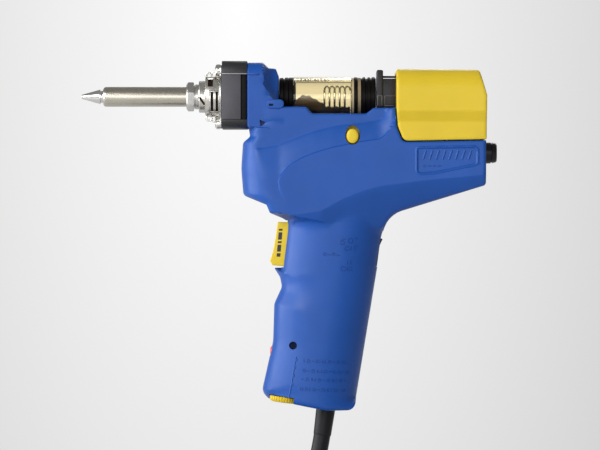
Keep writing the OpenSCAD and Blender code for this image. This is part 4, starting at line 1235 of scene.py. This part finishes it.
marks = setting_marks() + index_line() + scale_rows() + frame_hatching()
piece("raised_marks", joined(*marks), BLUE, (), 50)
piece("front_lugs", joined(lug(-1), lug(1), front_ledge(-1), front_ledge(1)), BLUE, (), 28)


# ---- stage, light and camera

def lit(name, place, target, size, power):
    data = bpy.data.lights.new(name, "AREA")
    data.shape = "RECTANGLE"
    data.size, data.size_y = size
    data.energy = power
    o = bpy.data.objects.new(name, data)
    scene.collection.objects.link(o)
    o.location = place
    o.rotation_euler = (Vector(target) - Vector(place)).to_track_quat("-Z", "Y").to_euler()


def floor_material():
    rgb = (0.78, 0.78, 0.78)
    m, nt, b = new_material("pale_floor", rgb, 0.7)
    tinted(nt, b, noise(nt, 1.5, 2), rgb, 0.985, 1.015)
    return m


def paper_material():
    """Pale paper that glows a little, brightest above the middle."""
    m, nt, b = new_material("paper", (0, 0, 0), 1.0)
    put(b, {"Specular IOR Level": 0.0, "Emission Strength": 1.0})
    gradient = nt.nodes.new("ShaderNodeTexGradient")
    gradient.gradient_type = "SPHERICAL"
    ramp = node(nt, "ValToRGB", {})
    ramp.color_ramp.elements[0].color = (0.65, 0.65, 0.65, 1)
    place = object_place(nt, {"Location": (0.150, 0, -0.273), "Scale": (1.576, 0, 0.788)})
    nt.links.new(place, gradient.inputs["Vector"])
    nt.links.new(gradient.outputs["Fac"], ramp.inputs["Fac"])
    nt.links.new(ramp.outputs["Color"], b.inputs["Emission Color"])
    return m


floor = bmesh.new()
bmesh.ops.create_circle(floor, cap_ends=True, segments=96, radius=1250)
piece("floor", moved(floor, 0, 0, FLOOR_Z - 0.05), floor_material(), body=None)
WALL = [(-1700, -900), (1700, -900), (1700, 1300), (-1700, 1300)]
wall = as_bm([(x, 4000, z) for x, z in WALL], [range(4)])
piece("backdrop", wall, paper_material(), body=None)

world = bpy.data.worlds.new("studio")
scene.world = world
world.use_nodes = True
put(world.node_tree.nodes["Background"], {"Color": (1, 1, 1, 1), "Strength": 0.25})

lit("key", (-1.25, -1.7, 0.85), (0, 0, 0.05), (1.2, 1.0), 30)
lit("band", (-0.1, -2.15, 0.16), (0, 0, 0.08), (1.3, 1.0), 8)
lit("left", (-2.0, -0.15, 0.30), (0, 0, 0.05), (2.4, 1.3), 42)
lit("back", (0.6, 1.9, 1.3), (0, 0, 0.05), (1.2, 1.0), 14)

camera = bpy.data.cameras.new("camera")
camera.lens = 250
camera.sensor_width = 36
camera.clip_end = 60
view = bpy.data.objects.new("camera", camera)
scene.collection.objects.link(view)
view.location = (-0.00985, -1.886, 0.0405)
view.rotation_euler = (pi / 2, 0, 0)
scene.camera = view
scene.view_settings.view_transform = "Standard"
